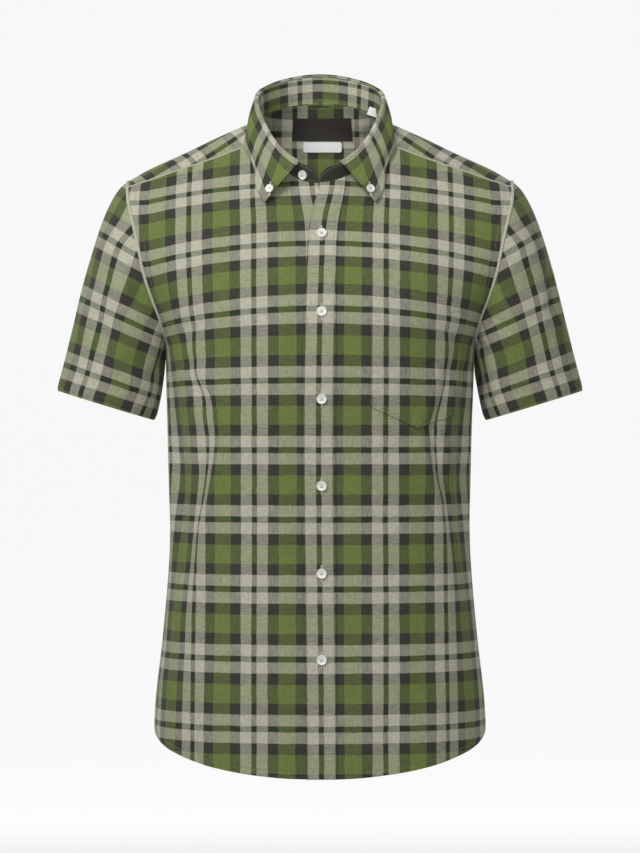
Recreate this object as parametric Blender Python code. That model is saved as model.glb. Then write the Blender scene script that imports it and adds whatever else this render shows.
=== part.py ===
"""A short-sleeve button-down shirt, hollow and filled out as it is worn.

The frame is in metres: +X is the wearer's left, the front faces -Y, +Z is up, and the origin lies in the middle of
the neck. Sizes below are in millimetres. The body is a stack of rings. A place on it is (way, height): way runs round
one half, from 0 at the centre front through 1 at the side to 2 at the centre back. Every panel is a grid of such
places between its seams, moved inwards for the thickness of its cloth, and neighbours share the points of a seam.
"""

import math

import bpy
import numpy as np
from mathutils import Vector
from mathutils.bvhtree import BVHTree

MM = 0.001

# Cloth
WALL = 1.3
SEAM_GAP = 0.3
PLY = WALL + SEAM_GAP

# Body rings
ROUND = 2.4
UNDERARM = -243.0
SIDE_HEM = -683.0
FRONT_HEM = -739.0
BACK_HEM = -742.0
HEM_CURVE = 2.1
QUARTER_POINTS = 61

DEPTHS = (
    # height, depth in front, depth behind
    (54.0, 2.0, 60.0),
    (40.0, 5.0, 68.0),
    (28.0, 10.0, 75.0),
    (5.0, 30.0, 86.0),
    (-25.0, 44.2, 98.5),
    (-52.0, 60.0, 107.5),
    (-75.0, 73.5, 112.5),
    (-100.0, 85.5, 116.5),
    (-126.0, 97.0, 119.0),
    (-160.0, 111.0, 120.0),
    (-202.0, 122.5, 119.5),
    (-243.0, 125.0, 118.0),
    (-330.0, 120.0, 111.0),
    (-446.0, 113.5, 105.0),
    (-560.0, 113.5, 108.0),
    (-680.0, 118.0, 116.0),
    (-745.0, 120.0, 118.0),
)

SHOULDER = (
    # height, half width at the ridge
    (28.0, 72.6),
    (24.0, 83.0),
    (16.0, 101.0),
    (4.0, 127.5),
    (-8.0, 152.0),
    (-19.5, 177.0),
    (-31.0, 202.0),
    (-45.5, 227.0),
)

SIDES = (
    # height, half width at the side seam
    (-243.0, 183.0),
    (-292.0, 180.5),
    (-330.0, 178.0),
    (-410.0, 175.8),
    (-446.0, 175.8),
    (-517.0, 180.0),
    (-588.0, 186.5),
    (-659.0, 194.5),
    (-745.0, 197.0),
)

# Armhole: a tilted loop, 0 on the ridge, half a turn at the underarm, turns to the front positive
ARM_MIDDLE = -144.3
ARM_RISE = 98.8
ARM_FRONT = 68.0
ARM_BACK = 74.0
ARM_LEAN = (
    # height, distance from the middle of the body
    (-45.5, 227.0),
    (-74.0, 224.0),
    (-94.0, 219.0),
    (-116.0, 213.5),
    (-135.0, 209.5),
    (-155.0, 205.6),
    (-172.0, 200.5),
    (-188.0, 195.0),
    (-207.0, 188.0),
    (-224.0, 184.0),
    (-243.1, 183.0),
)
YOKE_FRONT_TURN = math.radians(24.3)
YOKE_BACK_TURN = math.radians(-33.6)
YOKE_BACK_HEIGHT = -48.0

# Neck seam: an ellipse from above, its height given by the turn from the centre front
NECK_WIDTH = 72.5
NECK_DEPTH = 60.0
NECK_RISE = (
    # turn in degrees, height; the first and last rows repeat the curve past the middle
    (-24.4, -44.0),
    (0.0, -52.0),
    (24.4, -44.0),
    (43.6, -25.0),
    (62.8, 5.0),
    (78.0, 22.0),
    (90.0, 28.0),
    (116.3, 38.0),
    (146.5, 48.5),
    (180.0, 54.0),
    (213.5, 48.5),
)
NECK_SIDE = 28.0
FRONT_NECK = -52.0
YOKE_NECK_TURN = 62.8

# Front closing: the over front is the wearer's left one, and both spread where the neck is left open
OPENING = (
    # height, over edge, inner edge of the placket, under edge, edge of the lapped strip
    (-52.0, -0.2, 28.9, -1.7, -16.0),
    (-62.0, -1.6, 27.8, -1.2, -17.0),
    (-72.0, -5.0, 26.0, 2.0, -18.5),
    (-90.0, -9.6, 22.4, 8.0, -20.5),
    (-117.0, -13.6, 19.9, 15.0, -22.0),
    (-150.0, -15.6, 19.2, 17.5, -22.5),
    (-745.0, -15.6, 19.2, 17.5, -22.5),
)
LAP_HEIGHTS = (-54.0, -61.0)
TOP_ROWS = (0.952, 0.986)
PLACKET_DROP = 1.0
LAP_SLOPE = 19.0
LAP_DEPTH = PLY + 0.35
BEAK = 5.0
BEAK_WIDTH = 26.0
BEAK_HEIGHTS = (-115.0, -52.0)

FOLDS = (
    # side, from, way at the top, way at the foot, top, foot, half width, height of the fold
    (-1, "front", 0.800, 0.735, -262.0, -560.0, 17.0, -6.5),
    (-1, "front", 0.915, 0.850, -255.0, -520.0, 16.0, 4.5),
    (1, "front", 0.760, 0.815, -232.0, -585.0, 17.0, -6.0),
    (1, "front", 0.885, 0.910, -250.0, -500.0, 16.0, 3.0),
    (-1, "back", 0.790, 0.720, -250.0, -590.0, 18.0, -6.0),
    (1, "back", 0.810, 0.745, -255.0, -560.0, 18.0, -5.5),
    (1, "back", 0.180, 0.120, -290.0, -640.0, 24.0, -5.0),
    (-1, "back", 0.330, 0.400, -330.0, -660.0, 24.0, 4.0),
)

# Sleeves
CUFF_MIDDLE = (253.5, 0.0, -310.0)
CUFF_LONG = 61.2
CUFF_DEEP = 52.0
CUFF_TILT = math.radians(17.0)
SLEEVE_ROWS = 9
SLEEVE_SEAM_GAP = 0.45
SLEEVE_LINES = (
    # turn in degrees, start tangent out, to the front and up, start reach, end reach
    (-180.0, -0.02, -0.02, -1.0, 85.0, 75.0),
    (-135.0, 0.38, -0.22, -0.88, 90.0, 110.0),
    (-90.0, 0.66, -0.20, -0.73, 125.0, 150.0),
    (-45.0, 0.86, -0.12, -0.50, 125.0, 190.0),
    (0.0, 0.90, 0.0, -0.43, 120.0, 240.0),
    (45.0, 0.86, 0.12, -0.50, 125.0, 190.0),
    (90.0, 0.66, 0.20, -0.73, 125.0, 150.0),
    (135.0, 0.38, 0.22, -0.88, 90.0, 110.0),
    (180.0, -0.02, 0.02, -1.0, 85.0, 75.0),
)

# Grids: columns and rows of the panels
STRIP_COLUMNS = 4
NECK_COLUMNS = 4
YOKE_SEAM_COLUMNS = 7
ARM_ROWS = 10
SIDE_ROWS = 17
YOKE_ARM_COLUMNS = 3
BACK_COLUMNS = 10
YOKE_ROWS = 6
RIDGE_NECK_TURN = 90.0
BEHIND_NECK_TURN = 108.0

# Collar
STAND_WALL = 1.6
STAND_SEAM_GAP = 0.7
STAND_RISE = (
    # turn in degrees, out, to the front and up, from the neck seam to the top of the stand
    (0.0, -1.0, 8.0, 17.0),
    (24.4, -1.5, 8.5, 18.0),
    (43.6, -2.0, 7.5, 21.0),
    (62.8, -2.5, 5.0, 23.0),
    (90.0, -3.0, 3.0, 25.0),
    (116.3, -3.0, 2.0, 27.0),
    (146.5, -2.0, 2.5, 28.5),
    (180.0, 0.0, 3.0, 29.5),
    (213.5, 2.0, 2.5, 28.5),
)
STAND_ROUND = 17.0
STAND_LOW = 0.16
STAND_END_TURNS = (0.0, 1.2, 4.0, 8.0, 14.0)
LEAF_WALL = 1.6
LEAF_TURNS = (20.0, 26.0, 33.0, 41.0, 52.0, 64.0, 77.0, 90.0, 103.0, 116.0, 129.0, 142.0, 155.0, 168.0, 180.0)
LEAF_ROLL = 1.2
LEAF_EDGE = (
    # turn in degrees, way on the body, height, lift off the body
    (20.0, 0.212, -77.0, 3.0),
    (26.0, 0.245, -67.0, 3.0),
    (33.0, 0.280, -55.0, 3.2),
    (41.0, 0.315, -42.0, 3.4),
    (52.0, 0.380, -27.0, 3.8),
    (64.0, 0.530, -8.0, 4.0),
    (77.0, 0.670, 8.0, 3.2),
    (90.0, 0.850, 18.5, 3.2),
    (108.0, 1.220, 26.0, 4.5),
    (130.0, 1.520, 33.0, 7.0),
    (155.0, 1.780, 40.0, 9.0),
    (180.0, 2.000, 42.0, 10.0),
    (205.0, 2.220, 40.0, 9.0),
)
LEAF_BULGE = 3.0

# Pocket on the wearer's left front
POCKET_WALL = 1.2
POCKET_LIFT = 1.1
POCKET_TOP = (-189.0, -205.0)
POCKET_SIDES = (
    # height, run of the inner edge, run of the outer edge
    (-189.0, 57.0, 176.5),
    (-260.0, 56.5, 175.0),
    (-337.0, 56.0, 171.5),
)
POCKET_CORNERS = (-311.5, -318.5)
POCKET_POINT = -337.0
POCKET_COLUMNS = 8
POCKET_ROWS = 7

# Buttons
BUTTON_RADIUS = 5.8
BUTTON_THICK = 2.4
SMALL_BUTTON = 4.9
BUTTON_SIDES = 16
BUTTON_SEAT = 0.3
BUTTON_PROFILE = (
    # part of the radius, part of the thickness
    (0.93, 0.0),
    (1.0, 0.30),
    (0.99, 0.80),
    (0.86, 1.0),
    (0.66, 0.66),
)
CENTRE_FRONT = 1.8
BUTTON_HEIGHTS = (-112.5, -203.5, -303.5, -403.0, -503.5, -602.5)
STAND_BUTTON = (-19.7, -42.2)
STAND_BUTTON_RADIUS = 5.5
COLLAR_BUTTON = (58.0, -59.5)

# Labels inside the back of the neck
LABEL_WALL = 1.0
LABELS = (
    # name, middle across, middle height, width, height, columns, lift off the yoke
    ("label_main", 2.5, 25.0, 70.0, 24.0, 8, 0.9),
    ("label_fit", 3.0, 3.5, 46.0, 11.5, 6, 0.9),
    ("label_size", 68.0, 29.0, 13.0, 10.0, 4, 2.0),
)

GREEN_CHECK = (0.17, 0.21, 0.10)
BUTTON_WHITE = (0.86, 0.86, 0.83)
LABEL_DARK = (0.035, 0.03, 0.028)
LABEL_WHITE = (0.82, 0.82, 0.80)


def through(table, column, at):
    """Smooth curve through one column of a table, as a function of its first column."""
    rows = sorted((row[0], row[column]) for row in table)
    places = np.array([row[0] for row in rows])
    values = np.array([row[1] for row in rows])
    slopes = np.gradient(values, places)
    at = float(np.clip(at, places[0], places[-1]))
    k = int(np.clip(np.searchsorted(places, at) - 1, 0, len(places) - 2))
    span = places[k + 1] - places[k]
    t = (at - places[k]) / span
    start = values[k] * (2 * t**3 - 3 * t**2 + 1) + slopes[k] * span * (t**3 - 2 * t**2 + t)
    end = values[k + 1] * (3 * t**2 - 2 * t**3) + slopes[k + 1] * span * (t**3 - t**2)
    return float(start + end)


def smooth(low, high, value):
    """0 at low, 1 at high, and an even slope between."""
    t = min(max((value - low) / (high - low), 0.0), 1.0)
    return t * t * (3 - 2 * t)


def unit(vectors):
    """Vectors of length 1."""
    return vectors / np.linalg.norm(vectors, axis=-1, keepdims=True)


# The form of the body


def arm_reach(height, back):
    """Distance of the armhole seam in front of or behind the ridge, at a height."""
    c = min(max((height - ARM_MIDDLE) / ARM_RISE, -1.0), 1.0)
    return (ARM_BACK if back else ARM_FRONT) * math.sqrt(1 - c * c)


NECK_FINE = [(turn, through(NECK_RISE, 1, turn)) for turn in np.linspace(0, 180, 361)]


def neck_offset(height):
    """How far the neck seam lies from the middle at a height: across, and in front or behind."""
    turn = math.radians(np.interp(height, [row[1] for row in NECK_FINE], [row[0] for row in NECK_FINE]))
    return NECK_WIDTH * math.sin(turn), NECK_DEPTH * abs(math.cos(turn))


def ring(height, back):
    """Half width and depth of the ring at a height. It passes through the armhole and the neck seam."""
    depth = through(DEPTHS, 2 if back else 1, height)
    if height <= UNDERARM:
        return through(SIDES, 1, height), depth
    across, deep = neck_offset(height)
    if height < SHOULDER[-1][0]:
        share = min(arm_reach(height, back) / depth, 0.98)
        half = through(ARM_LEAN, 1, height) / (1 - share**ROUND) ** (1 / ROUND)
    elif height > NECK_SIDE:
        share = min(deep / depth, 0.9999)
        half = across / (1 - share**ROUND) ** (1 / ROUND) + 0.05
    else:
        half = through(SHOULDER, 1, height)
    if not back and height > FRONT_NECK:
        share = min(across / half, 0.9999)
        depth = max(deep / (1 - share**ROUND) ** (1 / ROUND), 2.0)
    return half, depth


KNOWN_QUARTERS = {}


def quarter(height, back):
    """Points round a quarter of one ring, from the centre line to the side, and the run of each."""
    key = (round(float(height), 6), back)
    if key not in KNOWN_QUARTERS:
        half, depth = ring(height, back)
        turn = np.linspace(0.0, math.pi / 2, QUARTER_POINTS)
        across = half * np.sin(turn) ** (2 / ROUND)
        deep = depth * np.abs(np.cos(turn)) ** (2 / ROUND)
        run = np.concatenate(([0.0], np.cumsum(np.hypot(np.diff(across), np.diff(deep)))))
        KNOWN_QUARTERS[key] = (across, deep, run, half, depth)
    return KNOWN_QUARTERS[key]


def way_at(across, height, back=False):
    """Way of the point of the ring that lies this far from the middle. Below 0 it is past the centre line."""
    points, _, run, _, _ = quarter(height, back)
    share = math.copysign(np.interp(abs(across), points, run) / run[-1], across)
    return 2.0 - share if back else share


def way_of_run(run, height, back=False):
    """Way at this run of cloth from the centre line."""
    share = run / quarter(height, back)[2][-1]
    return 2.0 - share if back else share


def fold_height(way, height, side):
    """How far the folds lift the cloth off the smooth form."""
    lift = 0.0
    for fold_side, place, top_way, foot_way, top, foot, width, rise in FOLDS:
        down = (top - height) / (top - foot)
        if fold_side != side or (way > 1) != (place == "back") or not 0 < down < 1:
            continue
        middle = top_way + (foot_way - top_way) * down
        share = 2 - way if way > 1 else way
        run = (share - middle) * quarter(height, way > 1)[2][-1]
        lift += rise * math.sin(math.pi * down) ** 1.3 * math.exp(-((run / width) ** 2))
    return lift


def body_point(way, height, side, lap=False):
    """Place on the outer face of the body. Side is 1 on the wearer's left and -1 on the right."""
    back = way > 1
    share = 2 - way if back else way
    points, deep, run, half, depth = quarter(height, back)
    across = math.copysign(np.interp(abs(share) * run[-1], run, points), share)
    y = np.interp(abs(share) * run[-1], run, deep) * (1 if back else -1)
    lift = fold_height(way, height, side)
    if lift:
        normal = unit(np.array([across / half**2, y / depth**2]))
        across, y = across + lift * normal[0], y + lift * normal[1]
    if not back and height < 0:
        beak = BEAK * smooth(BEAK_HEIGHTS[0], BEAK_HEIGHTS[1], height) * smooth(0.0, -30.0, height)
        y -= beak * math.exp(-((across / BEAK_WIDTH) ** 2))
        if lap:
            edge = -through(OPENING, 4, height)
            y += LAP_DEPTH * smooth(edge + LAP_SLOPE, edge, across) * smooth(*LAP_HEIGHTS, height)
    return np.array([side * across, y, height])


def body_normal(way, height, side, lap=False):
    """Outward normal of the body at a place."""
    round_it = body_point(way + 0.012, height, side, lap) - body_point(way - 0.012, height, side, lap)
    rise = body_point(way, height + 1.5, side, lap) - body_point(way, height - 1.5, side, lap)
    return unit(np.cross(round_it, rise) * side)


# Seams


def arm_place(turn):
    """Place of the armhole seam at a turn."""
    height = ARM_MIDDLE + ARM_RISE * math.cos(turn)
    if abs(math.sin(turn)) < 1e-6:
        return (1.0, height)
    return (way_at(through(ARM_LEAN, 1, height), height, turn < 0), height)


def neck_place(turn):
    """Place of the neck seam at a turn in degrees from the centre front."""
    height = through(NECK_RISE, 1, turn)
    if abs(turn - 90) < 1e-6:
        return (1.0, height)
    return (way_at(NECK_WIDTH * math.sin(math.radians(turn)), height, turn > 90), height)


def neck_turn(across):
    """Turn of the neck seam at this distance from the middle, in front."""
    return math.degrees(math.asin(across / NECK_WIDTH))


def hem_height(way):
    """Height of the hem: lowest in the middle and highest at the side seams."""
    low = BACK_HEM if way > 1 else FRONT_HEM
    share = 2 - way if way > 1 else abs(way)
    return low + (SIDE_HEM - low) * share**HEM_CURVE


def side_and_arm(front):
    """Side seam and armhole of a front or half of the back, hem to yoke."""
    sign = 1 if front else -1
    end = YOKE_FRONT_TURN if front else YOKE_BACK_TURN
    sides = [(1.0, height) for height in np.linspace(SIDE_HEM, UNDERARM, SIDE_ROWS + 1)]
    return sides + [arm_place(turn) for turn in np.linspace(sign * math.pi, end, ARM_ROWS + 1)[1:]]


def back_seam():
    """Back seam of the yoke, from the armhole to the centre."""
    start = arm_place(YOKE_BACK_TURN)
    rise = YOKE_BACK_HEIGHT - start[1]
    steps = np.linspace(0, 1, BACK_COLUMNS + 1)
    return [(start[0] + (2 - start[0]) * t, start[1] + rise * math.sin(t * math.pi / 2)) for t in steps]


def coons(foot, top, inner, outer):
    """Grid between four edges: foot and top run inner to outer, inner and outer run foot to top."""
    foot, top, inner, outer = (np.array(edge) for edge in (foot, top, inner, outer))
    t = np.linspace(0, 1, len(inner))[:, None, None]
    s = np.linspace(0, 1, len(foot))[None, :, None]
    across = (1 - s) * inner[:, None] + s * outer[:, None]
    along = (1 - t) * foot[None] + t * top[None]
    corners = (1 - t) * ((1 - s) * foot[0] + s * foot[-1]) + t * ((1 - s) * top[0] + s * top[-1])
    return across + along - corners


def front_places(side):
    """Grid of places of one front, hem to neck: first the strip along its edge, then the panel to the side."""
    edge_column, line_column = (1, 2) if side > 0 else (3, 4)

    def line(column, height):
        return way_at(side * through(OPENING, column, height), height)

    outer = side_and_arm(True)
    heights = np.linspace(0, 1, len(outer))
    heights[:-1] = np.append(np.linspace(0, TOP_ROWS[0], len(outer) - 2), TOP_ROWS[1])
    foot_ways = [line(edge_column, FRONT_HEM), line(line_column, FRONT_HEM)]
    edges = []
    for column, way in zip((edge_column, line_column), foot_ways):
        low, high = hem_height(way), FRONT_NECK
        if column == line_column:
            high = neck_place(neck_turn(side * through(OPENING, column, FRONT_NECK)))[1]
        edges.append([(line(column, low + (high - low) * t), low + (high - low) * t) for t in heights])
    foot = [(way, hem_height(way)) for way in np.linspace(foot_ways[1], 1.0, NECK_COLUMNS + YOKE_SEAM_COLUMNS + 1)]
    first_turn = neck_turn(side * through(OPENING, line_column, FRONT_NECK))
    neck = [neck_place(turn) for turn in np.linspace(first_turn, YOKE_NECK_TURN, NECK_COLUMNS + 1)]
    start, end = np.array(neck[-1]), np.array(arm_place(YOKE_FRONT_TURN))
    steps = np.linspace(0, 1, YOKE_SEAM_COLUMNS + 1)[1:]
    top = neck + [tuple(start + (end - start) * t) for t in steps]
    edges[1][-1] = top[0]
    main = coons(foot, top, edges[1], outer)
    share = np.linspace(0, 1, STRIP_COLUMNS + 1)[None, :-1, None]
    edges = np.array(edges)
    strip = edges[0][:, None] * (1 - share) + edges[1][:, None] * share
    first = side * through(OPENING, edge_column, FRONT_NECK)
    turns = np.linspace(neck_turn(first), first_turn, STRIP_COLUMNS + 1)[:-1]
    strip[-1] = [neck_place(turn) for turn in turns]
    return np.concatenate((strip, main), axis=1)


def back_places():
    """Grid of places of one half of the back, hem to yoke and side to centre."""
    outer = side_and_arm(False)
    foot = [(way, hem_height(way)) for way in np.linspace(1.00001, 2.0, BACK_COLUMNS + 1)]
    top = back_seam()
    centre = [(2.0, height) for height in np.linspace(foot[-1][1], top[-1][1], len(outer))]
    places = coons(foot, top, outer, centre)
    places[: SIDE_ROWS + 1, 0, 0] = 1.0
    return places


def yoke_places():
    """Grid of places of one half of the yoke: neck to outer edge, front seam to centre back."""
    front = np.linspace(YOKE_NECK_TURN, RIDGE_NECK_TURN, YOKE_ARM_COLUMNS + 1)
    behind = np.linspace(RIDGE_NECK_TURN, BEHIND_NECK_TURN, YOKE_ARM_COLUMNS + 1)[1:]
    rest = np.linspace(BEHIND_NECK_TURN, 180, BACK_COLUMNS + 1)[1:]
    inner = np.array([neck_place(turn) for turn in np.concatenate((front, behind, rest))])
    turns = np.concatenate((
        np.linspace(YOKE_FRONT_TURN, 0, YOKE_ARM_COLUMNS + 1),
        np.linspace(0, YOKE_BACK_TURN, YOKE_ARM_COLUMNS + 1)[1:],
    ))
    outer = np.array([arm_place(turn) for turn in turns] + back_seam()[1:])
    t = np.linspace(0, 1, YOKE_ROWS + 1)[:, None, None]
    return (1 - t) * inner[None] + t * outer[None]


# Walls


def lay(places, side, lap=False):
    """Points and normals of a grid of places."""
    points = np.array([[body_point(w, h, side, lap) for w, h in row] for row in places])
    normals = np.array([[body_normal(w, h, side, lap) for w, h in row] for row in places])
    return points, normals


def mirrored(places):
    """Points and normals of both halves of a piece, joined on the centre line, which is their last column."""
    halves = [lay(places, side) for side in (1, -1)]
    return [np.concatenate((left, right[:, -2::-1]), axis=1) for left, right in zip(*halves)]


EDGES = (
    # the edge, and the line of points next to it
    ((0, slice(None)), (1, slice(None))),
    ((-1, slice(None)), (-2, slice(None))),
    ((slice(None), 0), (slice(None), 1)),
    ((slice(None), -1), (slice(None), -2)),
)


def inset(points, amount):
    """Move the edges of a grid inwards, within the cloth, by an amount."""
    moved = points.copy()
    for edge_at, next_at in EDGES:
        edge = points[edge_at]
        tangent = unit(np.gradient(edge, axis=0))
        way_in = points[next_at] - edge
        way_in = way_in - tangent * np.sum(way_in * tangent, axis=1, keepdims=True)
        moved[edge_at] += unit(way_in) * amount
    return moved


def shell(name, outer, inner, material, closed=False, flip=False):
    """One closed wall between two grids of points, an outer and an inner one."""
    rows, columns = outer.shape[:2]
    count = rows * columns
    last = columns if closed else columns - 1
    faces = []
    for i in range(rows - 1):
        for j in range(last):
            a, b = i * columns + j, i * columns + (j + 1) % columns
            c, d = b + columns, a + columns
            faces.append((a, b, c, d))
            faces.append((a + count, d + count, c + count, b + count))
    rims = [(j, (j + 1) % columns) for j in range(last)]
    rims += [(b + (rows - 1) * columns, a + (rows - 1) * columns) for a, b in rims]
    if not closed:
        steps = [(i * columns, (i + 1) * columns) for i in range(rows - 1)]
        rims += [(b, a) for a, b in steps]
        rims += [(a + columns - 1, b + columns - 1) for a, b in steps]
    faces += [(b, a, a + count, b + count) for a, b in rims]
    if flip:
        faces = [face[::-1] for face in faces]
    vertices = np.concatenate((outer.reshape(-1, 3), inner.reshape(-1, 3)))
    return piece(name, vertices, faces, material)


def piece(name, vertices, faces, material):
    """A named object from points in millimetres and faces."""
    mesh = bpy.data.meshes.new(name)
    mesh.from_pydata([tuple(float(value) * MM for value in point) for point in vertices], [], faces)
    mesh.materials.append(material)
    mesh.shade_smooth()
    mesh.set_sharp_from_angle(angle=math.radians(40))
    obj = bpy.data.objects.new(name, mesh)
    bpy.context.scene.collection.objects.link(obj)
    return obj


def finish(name, colour, roughness):
    """A plain material for one piece."""
    material = bpy.data.materials.new(name)
    material.use_nodes = True
    shader = material.node_tree.nodes["Principled BSDF"]
    shader.inputs["Base Color"].default_value = (*colour, 1.0)
    shader.inputs["Roughness"].default_value = roughness
    shader.inputs["Metallic"].default_value = 0.0
    return material


def cloth(name):
    return finish(name, GREEN_CHECK, 0.85)


# Pieces


def build_fronts():
    """Both fronts, and the placket from the points of the over front's strip."""
    for side, name in ((-1, "front_right"), (1, "front_left")):
        points, normals = lay(front_places(side), side, lap=side < 0)
        points = inset(points, SEAM_GAP / 2)
        shell(name, points, points - normals * WALL, cloth(name), flip=side < 0)
        if side > 0:
            strip = points[:, : STRIP_COLUMNS + 1]
            lifted = strip + normals[:, : STRIP_COLUMNS + 1] * PLY
            lifted[-1] += unit(lifted[-2] - lifted[-1]) * PLACKET_DROP
            shell("placket", lifted, lifted - normals[:, : STRIP_COLUMNS + 1] * WALL, cloth("placket"))


def build_back():
    points, normals = mirrored(back_places())
    points = inset(points, SEAM_GAP / 2)
    shell("back", points, points - normals * WALL, cloth("back"))


def build_yokes():
    points, normals = mirrored(yoke_places())
    outer = inset(points, SEAM_GAP / 2)
    shell("yoke_outer", outer, outer - normals * WALL, cloth("yoke_outer"), flip=True)
    lining = outer - normals * PLY
    shell("yoke_inner", lining, lining - normals * WALL, cloth("yoke_inner"), flip=True)


def sleeve_turns():
    """Turns of the armhole that the sleeve's lines start from, the same as its neighbours' points."""
    front = np.linspace(math.pi, YOKE_FRONT_TURN, ARM_ROWS + 1)
    over = np.linspace(YOKE_FRONT_TURN, 0, YOKE_ARM_COLUMNS + 1)[1:]
    behind = np.linspace(0, YOKE_BACK_TURN, YOKE_ARM_COLUMNS + 1)[1:]
    back = np.linspace(YOKE_BACK_TURN, -math.pi, ARM_ROWS + 1)[1:-1]
    return np.concatenate((front, over, behind, back))


def sleeve_line(turn):
    """Points of one line down the sleeve, armhole to cuff, on the wearer's left."""
    out = np.array([math.cos(CUFF_TILT), 0.0, math.sin(CUFF_TILT)])
    along = np.array([math.sin(CUFF_TILT), 0.0, -math.cos(CUFF_TILT)])
    start = body_point(*arm_place(turn), 1)
    end = np.array(CUFF_MIDDLE) + out * CUFF_LONG * math.cos(turn) - np.array([0, CUFF_DEEP, 0]) * math.sin(turn)
    degrees = math.degrees(turn)
    lead, forward, rise, reach, hold = (through(SLEEVE_LINES, column, degrees) for column in range(1, 6))
    away = unit(np.array([lead, -forward, rise])) * reach
    t = np.linspace(0, 1, SLEEVE_ROWS + 1)[:, None]
    points = start * (2 * t**3 - 3 * t**2 + 1) + end * (3 * t**2 - 2 * t**3)
    return points + away * (t**3 - 2 * t**2 + t) + along * hold * (t**3 - t**2)


def build_sleeves():
    turns = sleeve_turns()
    grid = np.array([sleeve_line(turn) for turn in turns]).transpose(1, 0, 2)
    round_it = np.roll(grid, -1, axis=1) - np.roll(grid, 1, axis=1)
    normals = unit(np.cross(round_it, np.gradient(grid, axis=0)))
    if normals[0, 0, 0] > 0:
        normals = -normals
    body = np.array([body_normal(*arm_place(turn), 1) for turn in turns])
    lead = unit(grid[1] - grid[0])
    grid[0] += unit(lead + body) * SLEEVE_SEAM_GAP
    for side, name in ((1, "sleeve_left"), (-1, "sleeve_right")):
        mirror = np.array([side, 1, 1])
        shell(name, grid * mirror, (grid - normals * WALL) * mirror, cloth(name), closed=True, flip=side > 0)


def collar_frame(turn, side):
    """Neck seam, direction up the stand, its height and its outward normal at a turn."""
    way, height = neck_place(turn)
    seam = body_point(way, height, side)
    rise = np.array([side * through(STAND_RISE, 1, turn), -through(STAND_RISE, 2, turn), through(STAND_RISE, 3, turn)])
    ahead, behind = (body_point(*neck_place(min(max(turn + step, 0.3), 179.7)), side) for step in (1.0, -1.0))
    out = unit(np.cross((ahead - behind) * side, rise))
    return seam, rise, out


def collar_columns(turns, make):
    """Columns of the collar for both sides, from the wearer's left end round the back to the right end."""
    left = [make(turn, 1) for turn in turns]
    right = [make(turn, -1) for turn in turns[-2::-1]]
    return np.array(left + right).transpose(1, 0, 2, 3)


def stand_column(turn, side):
    """Outer and inner points of the stand at a turn: round at its ends, full height behind them."""
    gap = -through(OPENING, 1, FRONT_NECK) if side > 0 else -through(OPENING, 3, FRONT_NECK)
    first = math.degrees(math.asin(abs(gap) / NECK_WIDTH))
    turn = max(turn, first) if turn else first
    seam, rise, out = collar_frame(turn, side)
    run = NECK_WIDTH * math.radians(turn - first)
    share = 1.0
    if run < STAND_ROUND:
        share = STAND_LOW + (1 - STAND_LOW) * math.sqrt(1 - (1 - run / STAND_ROUND) ** 2)
    foot = seam + unit(rise) * STAND_SEAM_GAP
    points = [foot + (rise * share) * t for t in (0.0, 0.5, 1.0)]
    return [(point, point - out * STAND_WALL) for point in points]


def leaf_column(turn, side):
    """Outer and under points of the leaf at a turn: from the top of the stand over the roll to its edge."""
    seam, rise, out = collar_frame(turn, side)
    up = unit(rise)
    top = seam + rise + up * (STAND_SEAM_GAP + SEAM_GAP)
    middle = top + out * LEAF_ROLL
    section = [(top - out * STAND_WALL, top)]
    for angle in (140, 90, 40, 0):
        way = out * math.cos(math.radians(angle)) + up * math.sin(math.radians(angle))
        section.append((middle + way * (LEAF_ROLL + LEAF_WALL), middle + way * LEAF_ROLL))
    way, height, lift = (through(LEAF_EDGE, column, turn) for column in (1, 2, 3))
    edge = body_point(way, height, side)
    normal = body_normal(way, height, side)
    end = (edge + normal * (lift + LEAF_WALL), edge + normal * lift)
    start = section[-1]
    for t in (0.35, 0.7):
        bulge = unit(out + normal) * LEAF_BULGE * 4 * t * (1 - t)
        section.append(tuple(a + (b - a) * t + bulge for a, b in zip(start, end)))
    return section + [end]


def build_collar():
    columns = collar_columns(STAND_END_TURNS + LEAF_TURNS, stand_column)
    shell("collar_stand", columns[:, :, 0], columns[:, :, 1], cloth("collar_stand"))
    columns = collar_columns(LEAF_TURNS, leaf_column)
    shell("collar_leaf", columns[:, :, 0], columns[:, :, 1], cloth("collar_leaf"), flip=True)


def build_pocket():
    """A patch with a pointed foot, moved out from the over front."""
    rows = []
    for t in np.linspace(0, 1, POCKET_ROWS + 1):
        row = []
        for s in np.linspace(0, 1, POCKET_COLUMNS + 1):
            top = POCKET_TOP[0] + (POCKET_TOP[1] - POCKET_TOP[0]) * s
            foot = POCKET_CORNERS[0] + (POCKET_CORNERS[1] - POCKET_CORNERS[0]) * s
            foot += (POCKET_POINT - sum(POCKET_CORNERS) / 2) * (1 - abs(2 * s - 1))
            height = foot + (top - foot) * t
            inner, outer = (through(POCKET_SIDES, column, height) for column in (1, 2))
            row.append((way_of_run(inner + (outer - inner) * s, height), height))
        rows.append(row)
    points, normals = lay(np.array(rows), 1)
    lifted = points + normals * (POCKET_LIFT + POCKET_WALL)
    shell("pocket", lifted, lifted - normals * POCKET_WALL, cloth("pocket"))


def surface_hit(obj, across, height):
    """Point and normal of an object's face that is met first from the front, in millimetres."""
    mesh = obj.data
    tree = BVHTree.FromPolygons([v.co for v in mesh.vertices], [tuple(p.vertices) for p in mesh.polygons])
    start = Vector((across * MM, -1.0, height * MM))
    point, normal, _, _ = tree.ray_cast(start, Vector((0, 1, 0)))
    return np.array(point) / MM, unit(np.array(normal))


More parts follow.
